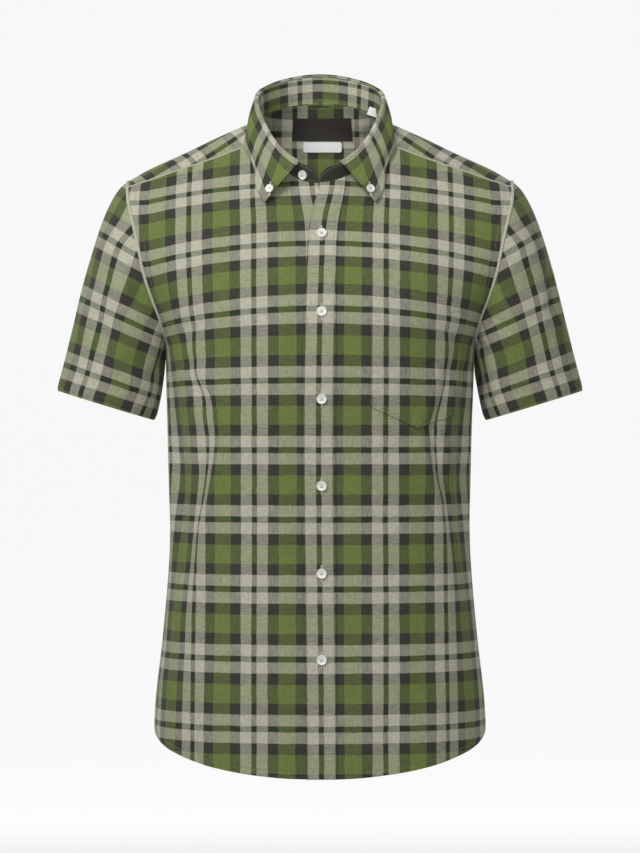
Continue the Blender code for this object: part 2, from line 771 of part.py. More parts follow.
def button(name, carrier, across, height, radius):
    """A round button with a raised rim and a dished middle, seated flat on the cloth that carries it."""
    point, normal = surface_hit(bpy.data.objects[carrier], across, height)
    right = unit(np.cross(np.array([0.0, 0.0, 1.0]), normal))
    up = np.cross(normal, right)
    vertices = []
    for part, level in BUTTON_PROFILE:
        for k in range(BUTTON_SIDES):
            turn = 2 * math.pi * k / BUTTON_SIDES
            flat = right * math.cos(turn) + up * math.sin(turn)
            vertices.append(point + flat * radius * part + normal * (BUTTON_SEAT + BUTTON_THICK * level))
    faces = []
    for ring_at in range(len(BUTTON_PROFILE) - 1):
        for k in range(BUTTON_SIDES):
            a, b = ring_at * BUTTON_SIDES + k, ring_at * BUTTON_SIDES + (k + 1) % BUTTON_SIDES
            faces.append((a, b, b + BUTTON_SIDES, a + BUTTON_SIDES))
    faces.append(tuple(range(BUTTON_SIDES))[::-1])
    start = (len(BUTTON_PROFILE) - 1) * BUTTON_SIDES
    faces.append(tuple(range(start, start + BUTTON_SIDES)))
    piece(name, vertices, faces, finish(name, BUTTON_WHITE, 0.3))


def build_buttons():
    for number, height in enumerate(BUTTON_HEIGHTS, 1):
        button(f"button_{number}", "placket", CENTRE_FRONT, height, BUTTON_RADIUS)
    button("button_stand", "collar_stand", *STAND_BUTTON, STAND_BUTTON_RADIUS)
    button("button_collar_right", "collar_leaf", -COLLAR_BUTTON[0], COLLAR_BUTTON[1], SMALL_BUTTON)
    button("button_collar_left", "collar_leaf", *COLLAR_BUTTON, SMALL_BUTTON)


def build_labels():
    """Bare woven labels, flat on the inner yoke behind the neck."""
    for name, middle, level, width, height, columns, lift in LABELS:
        rows = []
        for h in np.linspace(level - height / 2, level + height / 2, 4):
            runs = np.linspace(middle + width / 2, middle - width / 2, columns + 1)
            rows.append([(run, h) for run in runs])
        points, normals = [], []
        for row in rows:
            places = [(way_of_run(abs(run), h, True), h, 1 if run >= 0 else -1) for run, h in row]
            points.append([body_point(*place) for place in places])
            normals.append([body_normal(*place) for place in places])
        points, normals = np.array(points), np.array(normals)
        near = points - normals * (PLY + WALL + lift)
        colour = LABEL_DARK if name == "label_main" else LABEL_WHITE
        shell(name, near, near - normals * LABEL_WALL, finish(name, colour, 0.7))


def main():
    for obj in list(bpy.data.objects):
        bpy.data.objects.remove(obj)
    build_fronts()
    build_back()
    build_yokes()
    build_sleeves()
    build_collar()
    build_pocket()
    build_buttons()
    build_labels()


main()
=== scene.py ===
"""The looks of a short-sleeve check shirt: woven cotton, creases, stitching, buttons and labels over its solids.

Sizes are in millimetres until a mesh is made. The form is the one that the solids have: rings, seams and sections
worked out from the same named sizes, drawn here with finer cloth.
"""

from math import asin, copysign, cos, degrees, hypot, pi, radians, sin, sqrt

import bpy
import numpy as np
from mathutils import Matrix, Vector


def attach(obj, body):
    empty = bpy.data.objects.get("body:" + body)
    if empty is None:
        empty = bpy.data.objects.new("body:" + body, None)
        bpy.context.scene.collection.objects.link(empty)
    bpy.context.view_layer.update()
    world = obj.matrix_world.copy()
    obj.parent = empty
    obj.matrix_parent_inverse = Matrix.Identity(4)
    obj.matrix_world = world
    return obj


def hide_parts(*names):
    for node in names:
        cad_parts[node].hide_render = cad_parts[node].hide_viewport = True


MM = 0.001
SCENE = bpy.context.scene
FRONT, BEHIND = False, True
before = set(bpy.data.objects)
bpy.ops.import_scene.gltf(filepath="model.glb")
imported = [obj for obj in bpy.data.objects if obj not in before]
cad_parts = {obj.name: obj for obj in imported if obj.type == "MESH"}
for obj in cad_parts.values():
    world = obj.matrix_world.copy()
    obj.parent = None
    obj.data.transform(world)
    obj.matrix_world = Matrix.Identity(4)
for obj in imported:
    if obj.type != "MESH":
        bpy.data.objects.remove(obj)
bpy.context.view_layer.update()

# The form: the sizes of the solids

PLY = 1.6
ROUND = 2.4
UNDERARM = -243.0
SIDE_HEM = -683.0
FRONT_HEM = -739.0
BACK_HEM = -742.0
HEM_CURVE = 2.1
NECK_WIDTH = 72.5
NECK_DEPTH = 60.0
NECK_SIDE = 28.0
FRONT_NECK = -52.0
ARM_MIDDLE = -144.3
ARM_RISE = 98.8
ARM_FRONT = 68.0
ARM_BACK = 74.0
YOKE_FRONT_TURN = radians(24.3)
YOKE_BACK_TURN = radians(-33.6)
YOKE_BACK_HEIGHT = -48.0
YOKE_NECK_TURN = 62.8
RIDGE_NECK_TURN = 90.0
BEHIND_NECK_TURN = 108.0
LAP_HEIGHTS = (-54.0, -61.0)
LAP_SLOPE = 19.0
LAP_DEPTH = PLY + 0.35
BEAK = 5.0
BEAK_WIDTH = 26.0
BEAK_HEIGHTS = (-115.0, -52.0)

DEPTHS = (
    # height, depth in front, depth behind
    (54, 2, 60), (40, 5, 68), (28, 10, 75), (5, 30, 86), (-25, 44.2, 98.5), (-52, 60, 107.5), (-75, 73.5, 112.5),
    (-100, 85.5, 116.5), (-126, 97, 119), (-160, 111, 120), (-202, 122.5, 119.5), (-243, 125, 118),
    (-330, 120, 111), (-446, 113.5, 105), (-560, 113.5, 108), (-680, 118, 116), (-745, 120, 118),
)
SHOULDER = (
    # height, half width at the ridge
    (28, 72.6), (24, 83), (16, 101), (4, 127.5), (-8, 152), (-19.5, 177), (-31, 202), (-45.5, 227),
)
SIDES = (
    # height, half width at the side seam
    (-243, 183), (-292, 180.5), (-330, 178), (-410, 175.8), (-446, 175.8), (-517, 180), (-588, 186.5),
    (-659, 194.5), (-745, 197),
)
ARM_LEAN = (
    # height, distance of the armhole seam from the middle of the body
    (-45.5, 227), (-74, 224), (-94, 219), (-116, 213.5), (-135, 209.5), (-155, 205.6), (-172, 200.5), (-188, 195),
    (-207, 188), (-224, 184), (-243.1, 183),
)
NECK_RISE = (
    # turn in degrees, height of the neck seam
    (-24.4, -44), (0, -52), (24.4, -44), (43.6, -25), (62.8, 5), (78, 22), (90, 28), (116.3, 38), (146.5, 48.5),
    (180, 54), (213.5, 48.5),
)
OPENING = (
    # height, over edge, inner edge of the placket, under edge, edge of the lapped strip
    (-52, -0.2, 28.9, -1.7, -16), (-62, -1.6, 27.8, -1.2, -17), (-72, -5, 26, 2, -18.5),
    (-90, -9.6, 22.4, 8, -20.5), (-117, -13.6, 19.9, 15, -22), (-150, -15.6, 19.2, 17.5, -22.5),
    (-745, -15.6, 19.2, 17.5, -22.5),
)
FOLDS = (
    # side, from, way at the top, way at the foot, top, foot, half width, height of the fold
    (-1, FRONT, 0.800, 0.735, -262, -560, 17, -6.5), (-1, FRONT, 0.915, 0.850, -255, -520, 16, 4.5),
    (1, FRONT, 0.760, 0.815, -232, -585, 17, -6), (1, FRONT, 0.885, 0.910, -250, -500, 16, 3),
    (-1, BEHIND, 0.790, 0.720, -250, -590, 18, -6), (1, BEHIND, 0.810, 0.745, -255, -560, 18, -5.5),
    (1, BEHIND, 0.180, 0.120, -290, -640, 24, -5), (-1, BEHIND, 0.330, 0.400, -330, -660, 24, 4),
)
CUFF_MIDDLE = (253.5, 0.0, -310.0)
CUFF_LONG = 61.2
CUFF_DEEP = 52.0
CUFF_TILT = radians(17.0)
SLEEVE_LINES = (
    # turn in degrees, start tangent out, to the front and up, start reach, end reach
    (0, 0.90, 0, -0.43, 120, 240), (45, 0.86, 0.12, -0.50, 125, 190), (90, 0.66, 0.20, -0.73, 125, 150),
    (135, 0.38, 0.22, -0.88, 90, 110), (180, -0.02, 0.02, -1, 85, 75),
)
SLEEVE_LINES += tuple((-turn, out, -front, *rest) for turn, out, front, *rest in SLEEVE_LINES[1:])
STAND_WALL = 1.6
STAND_SEAM_GAP = 0.7
STAND_RISE = (
    # turn in degrees, out, to the front and up, from the neck seam to the top of the stand
    (0, -1, 8, 17), (24.4, -0.8, 8.5, 18), (43.6, 1.8, 7.5, 20.5), (62.8, 3.6, 5, 22), (90, 1, 3, 25),
    (116.3, 1, 2, 28), (146.5, 0.5, 2.5, 30.3), (180, 0, 3, 31.5), (213.5, -0.5, 2.5, 30.3),
)
STAND_ROUND = 17.0
STAND_LOW = 0.16
LEAF_WALL = 1.6
LEAF_ROLL = 1.2
LEAF_BULGE = 3.0
LEAF_START = 20.0
LEAF_EDGE = (
    # turn in degrees, way on the body, height, lift off the body
    (20, 0.212, -77, 3), (26, 0.245, -67, 3), (33, 0.280, -55, 3.2), (41, 0.315, -42, 3.4), (52, 0.380, -27, 3.8),
    (64, 0.530, -8, 4), (77, 0.670, 8, 3.2), (90, 0.845, 20, 3.2), (108, 1.220, 28, 3.6), (130, 1.520, 33.5, 6.5),
    (155, 1.780, 40, 9), (180, 2.000, 42, 10), (205, 2.220, 40, 9),
)
POCKET_TOP = (-189.0, -205.0)
POCKET_SIDES = (
    # height, run of the inner edge, run of the outer edge
    (-189, 57, 176.5), (-260, 56.5, 175), (-337, 56, 171.5),
)
POCKET_CORNERS = (-311.5, -318.5)
POCKET_POINT = -337.0
LABELS = (
    # name, middle across, middle height, width, height, lift off the yoke
    ("label_main", 3, 25.5, 75, 26, 0.9), ("label_fit", 3, 5.2, 47, 12, 0.9),
)

# The cloth: fine grids, its thickness and its check

CLOTH = 0.8
STRIP_COLUMNS = 8
NECK_COLUMNS = 18
SHOULDER_COLUMNS = 36
SIDE_ROWS = 104
ARM_ROWS = 46
YOKE_ARM_COLUMNS = 12
BACK_COLUMNS = 52
YOKE_ROWS = 30
SLEEVE_ROWS = 56

TUCKS = (
    # side, from, rows of height, distance of the fold from the middle, cloth hidden in it
    (-1, FRONT, (
        (-214, 158, 0), (-246, 154, 7), (-272, 150, 11), (-304, 128, 14), (-327, 123, 16), (-351, 123, 19),
        (-385, 130, 22), (-420, 138, 19), (-443, 144, 16), (-490, 151, 11), (-536, 157, 8), (-594, 160, 6.5),
        (-652, 164, 4), (-720, 166, 2.5),
    )),
    (1, FRONT, (
        (-214, 157, 0), (-246, 154, 7), (-272, 150, 11.5), (-304, 140, 13.5), (-339, 129, 17), (-362, 133, 18),
        (-397, 140, 21), (-420, 147, 17.5), (-443, 151, 14.5), (-490, 158, 10), (-536, 162, 6), (-652, 165, 2),
        (-720, 166, 1),
    )),
    (-1, BEHIND, (
        (-214, 148, 0), (-262, 142, 9), (-318, 126, 15), (-366, 122, 18), (-431, 132, 14), (-522, 146, 8),
        (-660, 158, 3),
    )),
    (1, BEHIND, (
        (-214, 152, 0), (-270, 146, 8), (-335, 133, 14), (-392, 131, 17), (-458, 143, 12), (-548, 152, 6.5),
        (-670, 160, 2.5),
    )),
    (1, BEHIND, (
        (-120, 34, 0), (-210, 38, 2.5), (-330, 44, 4), (-520, 40, 3), (-690, 38, 1.5),
    )),
    (-1, BEHIND, (
        (-140, 52, 0), (-250, 47, 3), (-380, 41, 4.5), (-560, 47, 2), (-700, 50, 1),
    )),
)
TUCK_HALF = 12.0
TUCK_FALL = 0.17
CREASES = (
    # side, from, rows of across and height at one end, and at the other, half width, height of the crease
    (-1, FRONT, (
        (172, -238, 128, -205, 9, -1.6), (176, -262, 118, -252, 8, -1.2), (168, -300, 96, -330, 10, 1.1),
        (92, -110, 150, -96, 12, -0.9), (60, -96, 76, -180, 13, 0.9), (34, -420, 96, -470, 16, -0.8),
        (118, -470, 70, -585, 15, 1.1), (52, -640, 60, -748, 16, -2.2), (112, -610, 124, -742, 14, 2),
    )),
    (1, FRONT, (
        (172, -236, 122, -212, 8, -1.5), (178, -270, 112, -262, 9, -1.3), (112, -345, 60, -372, 9, -1),
        (160, -318, 110, -352, 8, 1.4), (84, -112, 140, -92, 13, -0.8), (40, -455, 104, -436, 15, -0.9),
        (64, -520, 92, -640, 17, 1.2), (78, -650, 70, -748, 15, -2.4), (132, -620, 126, -735, 14, 1.8),
    )),
    (-1, BEHIND, (
        (175, -240, 110, -196, 10, -2.4), (178, -262, 84, -268, 10, -1.8), (150, -130, 96, -166, 14, 1.4),
        (120, -420, 30, -452, 16, -1.6), (96, -560, 110, -744, 16, 2.6), (24, -600, 16, -748, 17, -2.4),
    )),
    (1, BEHIND, (
        (176, -236, 118, -188, 9, -2.2), (178, -280, 90, -300, 11, -1.6), (156, -124, 90, -150, 13, 1.2),
        (10, -380, 108, -356, 15, 1.3), (62, -585, 72, -746, 16, -2.6), (138, -600, 130, -738, 15, 2.2),
    )),
)
SLEEVE_CREASES = {
    # side, rows of turn and length up the sleeve at one end, and at the other, half width, height
    1: (
        (30, 152, 44, 78, 8, -3.6), (64, 128, 22, 66, 9, 2), (132, 172, 96, 92, 9, -2.8),
        (152, 136, 118, 66, 8, -3.2), (112, 84, 66, 30, 9, -2), (168, 104, 150, 34, 9, -2.8),
        (82, 204, 58, 150, 8, -2.2), (14, 96, 70, 100, 10, -1.8), (-36, 168, -60, 82, 10, -2.6),
        (-96, 176, -74, 104, 9, -3), (-140, 130, -108, 60, 10, -2.8), (-66, 70, -40, 22, 10, 1.8),
    ),
    -1: (
        (72, 190, 98, 108, 9, -2.6), (54, 112, 78, 44, 10, -2.4), (28, 154, 20, 84, 9, -1.8),
        (142, 166, 108, 96, 9, -3), (164, 122, 138, 44, 9, -2.8), (104, 70, 84, 14, 9, -1.6),
        (88, 150, 66, 120, 8, 1.6), (-30, 150, -52, 70, 10, -2.2), (-104, 182, -78, 98, 10, -2.8),
        (-150, 116, -122, 48, 9, -3), (-84, 66, -60, 16, 11, 2),
    ),
}

YARNS = {
    "light": (0.515, 0.507, 0.395),
    "green": (0.160, 0.213, 0.058),
    "dark": (0.044, 0.042, 0.034),
    "fine": (0.022, 0.036, 0.018),
}
WARP = (
    # colour, width of the stripe
    ("fine", 6), ("light", 12.8), ("dark", 12.4), ("green", 19.8), ("dark", 12.4), ("light", 12.8),
)
WEFT = (
    ("fine", 6.9), ("light", 12.9), ("dark", 12.8), ("green", 21.7), ("dark", 12.8), ("light", 12.9),
)
EDGE_SOFT = 0.35
YARN_WAVE = 2 * pi / 0.0011
SLUB_SCALES = (1400.0, 70.0)

# Where the check lies on each piece: the offsets put its stripes where the photograph has them

WEFT_ZERO = -362.0
DROOP = 6.0
SHOULDER_WAY = (0.93, -0.36)
YOKE_TAKE = 0.96
YOKE_SLANT = 0.27
YOKE_LEVEL = 163.0
YOKE_BEHIND = 46.0
YOKE_WARP = 1.8
INNER_YOKE_OFF = (31.1, -19.6)
SLEEVE_GIRTH = 56.5
SLEEVE_SPREAD = 1.095
SLEEVE_BOW = 0.0013
SLEEVE_WARP = -63.0
SLEEVE_WEFT = -32.0
DEGREE_LONG = 1.05
# At the stand's front ends the check is squashed, to a quarter along and 0.6 up, so that the tips lie wholly in its
# dark stripes: partly the cloth's own dark check, partly painted shade for the shade under the collar points
STAND_FRONT = 228.0
STAND_WEFT = ((-36.6, 1.42), (17.5, 0.6))
STAND_WARP = (25.0, 22.0)
LEAF_FINE = 190.5
LEAF_WEFT = 9.3

# Seams and stitching

HEM_TURN = 7.0
ARM_TURN = 9.0
CUFF_HEM = 24.0
CUFF_ROUND = 9.0
CUFF_TURN = 1.6
GROOVE_WIDE = 0.0013
PUCKER_WIDE = 0.0055
STITCH_STEP = 2.7
STITCH_LONG = 1.9
STITCH_HALF = 0.32
STITCH_LIFT = 0.4
THREAD = (0.340, 0.345, 0.255)
ACROSS_CORDS = (0.12, 0.95, 0.28)
FAR = 50.0
JUST_BEHIND = 1.00001
SHARP = radians(35)

# Collar, pocket, labels and buttons

LEAF_COLUMNS = 89
BEHIND_COLUMNS = 10
POCKET_GRID = 40
TAB_SIZE = (13.0, 10.0)
TAB_ACROSS = 66.0
TAB_OFF = (-2.5, -5.0, 2.0)
TAB_LEAN = radians(20)
LABEL_THICK = 0.5
BUTTON_RADIUS = 5.8
HOLE_RADIUS = 0.62
HOLE_PLACE = 1.25
HOLE_DEPTH = -1.2
CROSSING = (
    # the thread over a button, from hole to hole: across and up in hole places, height
    (-1, -1, -1.2), (-1, -1, 0.5), (-0.6, -0.6, 0.85), (0, 0, 1), (0.6, 0.6, 0.85), (1, 1, 0.5), (1, 1, -1.2),
)

# The studio, in metres

FLOOR = -1.25
BEND_START = 3.4
BEND = 1.6
FAR_EDGE = 9.0
SENSOR = 24.0
SEEN_HEIGHT = 0.981
SEEN_FROM = 3.35


def hermite(t):
    """Shares of the start, its slope, the end and its slope in a smooth curve."""
    return 2 * t**3 - 3 * t**2 + 1, t**3 - 2 * t**2 + t, 3 * t**2 - 2 * t**3, t**3 - t**2


def through(table, column, at):
    """Smooth curve through one column of a table, as a function of its first column."""
    places, values = np.array(sorted((row[0], row[column]) for row in table), dtype=float).T
    slopes = np.gradient(values, places)
    at = np.clip(at, places[0], places[-1])
    k = np.clip(np.searchsorted(places, at) - 1, 0, len(places) - 2)
    span = places[k + 1] - places[k]
    start, lead, end, hold = hermite((at - places[k]) / span)
    return values[k] * start + slopes[k] * span * lead + values[k + 1] * end + slopes[k + 1] * span * hold


def value_of(table, column, at):
    return float(through(table, column, at))


def steps(start, end, count):
    """Even steps from start to end, both included."""
    return np.linspace(start, end, count + 1)


def smooth(low, high, value):
    """0 at low, 1 at high, and an even slope between."""
    return hermite(np.clip((value - low) / (high - low), 0, 1))[2]


def unit(vectors):
    return vectors / np.maximum(np.linalg.norm(vectors, axis=-1, keepdims=True), 1e-9)


def pair(first, second):
    return np.stack((first, second), axis=-1)


def length_along(*ways):
    """Length along a line, given its steps in each direction."""
    return np.concatenate(([0.0], np.cumsum(np.hypot(*(np.diff(way) for way in ways)))))


# The body


def arm_reach(height, back):
    c = min(max((height - ARM_MIDDLE) / ARM_RISE, -1.0), 1.0)
    return (ARM_BACK if back else ARM_FRONT) * sqrt(1 - c * c)


NECK_FINE = [(turn, float(through(NECK_RISE, 1, turn))) for turn in np.linspace(0, 180, 361)]


def neck_offset(height):
    turn = radians(np.interp(height, [row[1] for row in NECK_FINE], [row[0] for row in NECK_FINE]))
    return NECK_WIDTH * sin(turn), NECK_DEPTH * abs(cos(turn))


def ring(height, back):
    """Half width and depth of the ring at a height."""
    depth = value_of(DEPTHS, 2 if back else 1, height)
    if height <= UNDERARM:
        return value_of(SIDES, 1, height), depth
    across, deep = neck_offset(height)
    if height < SHOULDER[-1][0]:
        share = min(arm_reach(height, back) / depth, 0.98)
        half = value_of(ARM_LEAN, 1, height) / rounded(share)
    elif height > NECK_SIDE:
        half = across / rounded(deep / depth) + 0.05
    else:
        half = value_of(SHOULDER, 1, height)
    if not back and height > FRONT_NECK:
        depth = max(deep / rounded(across / half), 2.0)
    return half, depth


def rounded(share):
    """The other share of a ring's half width or depth, at one share of it."""
    return (1 - min(share, 0.9999) ** ROUND) ** (1 / ROUND)


def quarter(half, depth, count):
    """Across, depth and run of a quarter of a ring, from the centre line to its side."""
    turn = steps(0, pi / 2, count)
    across = half * np.sin(turn) ** (2 / ROUND)
    deep = depth * np.abs(np.cos(turn)) ** (2 / ROUND)
    return across, deep, length_along(across, deep)


HEIGHTS = np.arange(-760.0, 60.0, 1.0)
SHARES = steps(0, 1, 240)


def form_table(back):
    """Across, depth and run of every ring, at even shares of its run, then its half width and depth."""
    rows = []
    for height in HEIGHTS:
        half, depth = ring(height, back)
        across, deep, run = quarter(half, depth, len(SHARES) - 1)
        even = SHARES * run[-1]
        whole = [np.full(len(SHARES), value) for value in (run[-1], half, depth)]
        rows.append((np.interp(even, run, across), np.interp(even, run, deep), *whole))
    return np.array(rows).transpose(1, 0, 2)


FORM = np.array([form_table(back) for back in (FRONT, BEHIND)])


def read_form(share, height, back):
    """The form between its rings and shares."""
    i = np.clip(height - HEIGHTS[0], 0, len(HEIGHTS) - 1.001)
    j = np.clip(np.abs(share), 0, 1) * (len(SHARES) - 1.001)
    low, first = i.astype(int), j.astype(int)
    up, along = (i - low)[..., None], (j - first)[..., None]
    face = np.broadcast_to(back, low.shape).astype(int)

    def row(k):
        return FORM[face, :, k, first] * (1 - along) + FORM[face, :, k, first + 1] * along

    return np.moveaxis(row(low) * (1 - up) + row(low + 1) * up, -1, 0)


def run_across(across, height, back):
    """Run of cloth to the point of each ring that lies this far from the middle."""
    across, height = np.broadcast_arrays(np.asarray(across, dtype=float), height)
    rows = np.clip(np.round(height - HEIGHTS[0]).astype(int), 0, len(HEIGHTS) - 1)
    table = FORM[int(back)]
    found = [np.interp(a, table[0, k], SHARES * table[2, k, 0]) for a, k in zip(across.ravel(), rows.ravel())]
    return np.array(found).reshape(across.shape)


def tuck_lines():
    """Every tuck at each whole millimetre of height: its run from the centre and the cloth hidden in it."""
    lines = []
    for side, behind, rows in TUCKS:
        hidden = np.maximum(through(rows, 2, HEIGHTS), 0) * smooth(0, 30, rows[0][0] - HEIGHTS)
        lines.append((side, behind, run_across(through(rows, 1, HEIGHTS), HEIGHTS, behind), hidden))
    return lines


def tucks_near(run, height, back, side):
    """How far each point lies from each tuck of its side, and the cloth hidden there."""
    for tuck_side, behind, line, hidden in TUCK_LINES:
        if tuck_side == side:
            yield run - np.interp(height, HEIGHTS, line), np.interp(height, HEIGHTS, hidden) * (back == behind)


def valley(run, height, ends, half, rise):
    """A soft trough or ridge along a line between two ends, dying out at both."""
    (run_a, high_a), (run_b, high_b) = ends
    length = hypot(run_b - run_a, high_b - high_a)
    way = ((run - run_a) * (run_b - run_a) + (height - high_a) * (high_b - high_a)) / length**2
    off = ((run - run_a) * (high_b - high_a) - (height - high_a) * (run_b - run_a)) / length
    off = off + 0.06 * length * np.sin(pi * np.clip(way, 0, 1))
    along = np.sin(pi * np.clip(way * 0.8 + 0.1, 0, 1)) * smooth(-0.12, 0.12, way) * smooth(1.12, 0.88, way)
    return rise * along * (np.exp(-((off / half) ** 2)) - 0.35 * np.exp(-(((np.abs(off) - 2 * half) / half) ** 2)))


def crease_lift(run, height, back, side):
    """Height of the creases and tucks over the plain form."""
    lift = np.zeros_like(height)
    for off, hidden in tucks_near(run, height, back, side):
        shape = 0.55 * np.exp(-(((off + 17) / 10) ** 2)) + 0.45 * np.exp(-(((off - 16) / 9) ** 2))
        lift += hidden * TUCK_FALL * (shape - np.exp(-((off / 7.5) ** 2)))
    for crease_side, behind, *crease in CREASE_LINES:
        if crease_side == side:
            lift += (back == behind) * valley(run, height, *crease)
    return lift * smooth(-62.0, -100.0, height)


def tuck_shift(run, height, back, side):
    """Cloth that the tucks hide between the centre and a run."""
    near = tucks_near(run, height, back, side)
    return sum(hidden * smooth(-TUCK_HALF, TUCK_HALF, off) for off, hidden in near)


TUCK_LINES = tuck_lines()
CREASE_LINES = [
    (side, behind, [(float(run_across(*end, behind)), end[1]) for end in ((a, b), (c, e))], half, rise)
    for side, behind, rows in CREASES
    for a, b, c, e, half, rise in rows
]


def body_points(places, side, lap=False):
    """Places (way, height) on the outer face of the body, as points."""
    places = np.asarray(places, dtype=float)
    way, height = places[..., 0], places[..., 1]
    back = way > 1
    share = np.where(back, 2 - way, way)
    across, deep, run, half, depth = read_form(share, height, back)
    across = across * np.where(share < 0, -1.0, 1.0)
    y = np.where(back, deep, -deep)
    lift = np.zeros_like(height)
    for fold_side, behind, top_way, foot_way, top, foot, width, rise in FOLDS:
        if fold_side == side:
            down = np.clip((top - height) / (top - foot), 0, 1)
            off = (share - top_way - (foot_way - top_way) * down) * run
            lift += (back == behind) * rise * np.sin(pi * down) ** 1.3 * np.exp(-((off / width) ** 2))
    lift += crease_lift(share * run, height, back, side) * smooth(0, 13, (1 - share) * run)
    normal = unit(pair(across / half**2, y / depth**2))
    across, y = across + lift * normal[..., 0], y + lift * normal[..., 1]
    front = (~back) & (height < 0)
    beak = BEAK * smooth(*BEAK_HEIGHTS, height) * smooth(0, -30, height)
    y = y - front * beak * np.exp(-((across / BEAK_WIDTH) ** 2))
    if lap:
        edge = -through(OPENING, 4, height)
        y = y + front * LAP_DEPTH * smooth(edge + LAP_SLOPE, edge, across) * smooth(*LAP_HEIGHTS, height)
    return np.stack((side * across, y, height), axis=-1)


def run_of(places):
    """Run of cloth round the body from the centre line to each place, less than 0 past the line."""
    way, height = places[..., 0], places[..., 1]
    share = np.where(way > 1, 2 - way, way)
    return read_form(share, height, way > 1)[2] * share


def way_at(across, height, back=False):
    """Way of the point of the ring that lies this far from the middle."""
    points, _, run = quarter(*ring(height, back), 480)
    share = copysign(float(np.interp(abs(across), points, run)) / run[-1], across)
    return 2.0 - share if back else share


def way_of_run(run, height, back=False):
    total = read_form(np.zeros_like(height), height, back)[2]
    return 2.0 - run / total if back else run / total


# Seams


def arm_place(turn):
    height = ARM_MIDDLE + ARM_RISE * cos(turn)
    if abs(sin(turn)) < 1e-6:
        return 1.0, height
    return way_at(value_of(ARM_LEAN, 1, height), height, turn < 0), height


def arm_places(start, end, count):
    return [arm_place(turn) for turn in steps(start, end, count)]


def neck_place(turn):
    height = value_of(NECK_RISE, 1, turn)
    if abs(turn - 90) < 1e-6:
        return 1.0, height
    return way_at(NECK_WIDTH * sin(radians(turn)), height, turn > 90), height


def neck_places(start, end, count):
    return [neck_place(turn) for turn in steps(start, end, count)]


def neck_turn(across):
    return degrees(asin(across / NECK_WIDTH))


def hem_height(way):
    low = BACK_HEM if way > 1 else FRONT_HEM
    share = 2 - way if way > 1 else abs(way)
    return low + (SIDE_HEM - low) * share**HEM_CURVE


def side_and_arm(front):
    """Side seam and armhole of a front or half of the back, hem to yoke."""
    start, end = (pi, YOKE_FRONT_TURN) if front else (-pi, YOKE_BACK_TURN)
    return [(1.0, height) for height in steps(SIDE_HEM, UNDERARM, SIDE_ROWS)] + arm_places(start, end, ARM_ROWS)[1:]


def back_seam():
    way, height = arm_place(YOKE_BACK_TURN)
    rise = YOKE_BACK_HEIGHT - height
    return [(way + (2 - way) * t, height + rise * sin(t * pi / 2)) for t in steps(0, 1, BACK_COLUMNS)]


def coons(foot, top, inner, outer):
    """Grid between four edges: foot and top run inner to outer, inner and outer run foot to top."""
    foot, top, inner, outer = (np.array(edge) for edge in (foot, top, inner, outer))
    t = np.linspace(0, 1, len(inner))[:, None, None]
    s = np.linspace(0, 1, len(foot))[None, :, None]
    across = (1 - s) * inner[:, None] + s * outer[:, None]
    along = (1 - t) * foot[None] + t * top[None]
    corners = (1 - t) * ((1 - s) * foot[0] + s * foot[-1]) + t * ((1 - s) * top[0] + s * top[-1])
    return across + along - corners


def front_places(side):
    """Places of one front, hem to neck: first the strip along its edge, then the panel to the side."""
    columns = (1, 2) if side > 0 else (3, 4)

    def line(column, height):
        return way_at(side * value_of(OPENING, column, height), height)

    outer = side_and_arm(True)
    heights = np.linspace(0, 1, len(outer))[:, None]
    turns = [neck_turn(side * value_of(OPENING, column, FRONT_NECK)) for column in columns]
    edges = []
    for column, high in zip(columns, (FRONT_NECK, neck_place(turns[1])[1])):
        low = hem_height(line(column, FRONT_HEM))
        edges.append([(line(column, height), height) for height in (low + (high - low) * heights)[:, 0]])
    ways = steps(line(columns[1], FRONT_HEM), 1.0, NECK_COLUMNS + SHOULDER_COLUMNS)
    foot = [(way, hem_height(way)) for way in ways]
    neck = neck_places(turns[1], YOKE_NECK_TURN, NECK_COLUMNS)
    shoulder = steps(neck[-1], arm_place(YOKE_FRONT_TURN), SHOULDER_COLUMNS)[1:]
    edges[1][-1] = neck[0]
    main = coons(foot, [*neck, *shoulder], edges[1], outer)
    share = steps(0, 1, STRIP_COLUMNS)[None, :-1, None]
    first, second = np.array(edges)[:, :, None]
    strip = first * (1 - share) + second * share
    top = np.array(neck_places(*turns, STRIP_COLUMNS)[:-1])
    blend = np.clip((heights - 0.97) / 0.03, 0, 1)[..., None]
    return np.concatenate((strip + (top - strip[-1]) * blend, main), axis=1)


def back_places():
    """Places of one half of the back, hem to yoke and side to centre."""
    outer, top = side_and_arm(False), back_seam()
    foot = [(way, hem_height(way)) for way in steps(JUST_BEHIND, 2.0, BACK_COLUMNS)]
    centre = [(2.0, height) for height in np.linspace(foot[-1][1], top[-1][1], len(outer))]
    places = coons(foot, top, outer, centre)
    places[: SIDE_ROWS + 1, 0, 0] = JUST_BEHIND
    return places


def yoke_places():
    """Places of one half of the yoke: neck to outer edge, front seam to centre back."""
    inner = neck_places(YOKE_NECK_TURN, RIDGE_NECK_TURN, YOKE_ARM_COLUMNS)
    inner += neck_places(RIDGE_NECK_TURN, BEHIND_NECK_TURN, YOKE_ARM_COLUMNS)[1:]
    inner += neck_places(BEHIND_NECK_TURN, 180, BACK_COLUMNS)[1:]
    outer = arm_places(YOKE_FRONT_TURN, 0, YOKE_ARM_COLUMNS)
    outer += arm_places(0, YOKE_BACK_TURN, YOKE_ARM_COLUMNS)[1:] + back_seam()[1:]
    return steps(inner, outer, YOKE_ROWS)


# Cloth


def grid_normals(points, away_from=None, closed=False):
    """Outward normals of a grid of points. They point away from a middle that each point is given."""
    if closed:
        round_it = np.roll(points, -1, axis=1) - np.roll(points, 1, axis=1)
    else:
        round_it = np.gradient(points, axis=1)
    normals = unit(np.cross(round_it, np.gradient(points, axis=0)))
    middle = points * (0, 0, 1) if away_from is None else away_from
    return -normals if np.sum(normals * (points - middle)) < 0 else normals


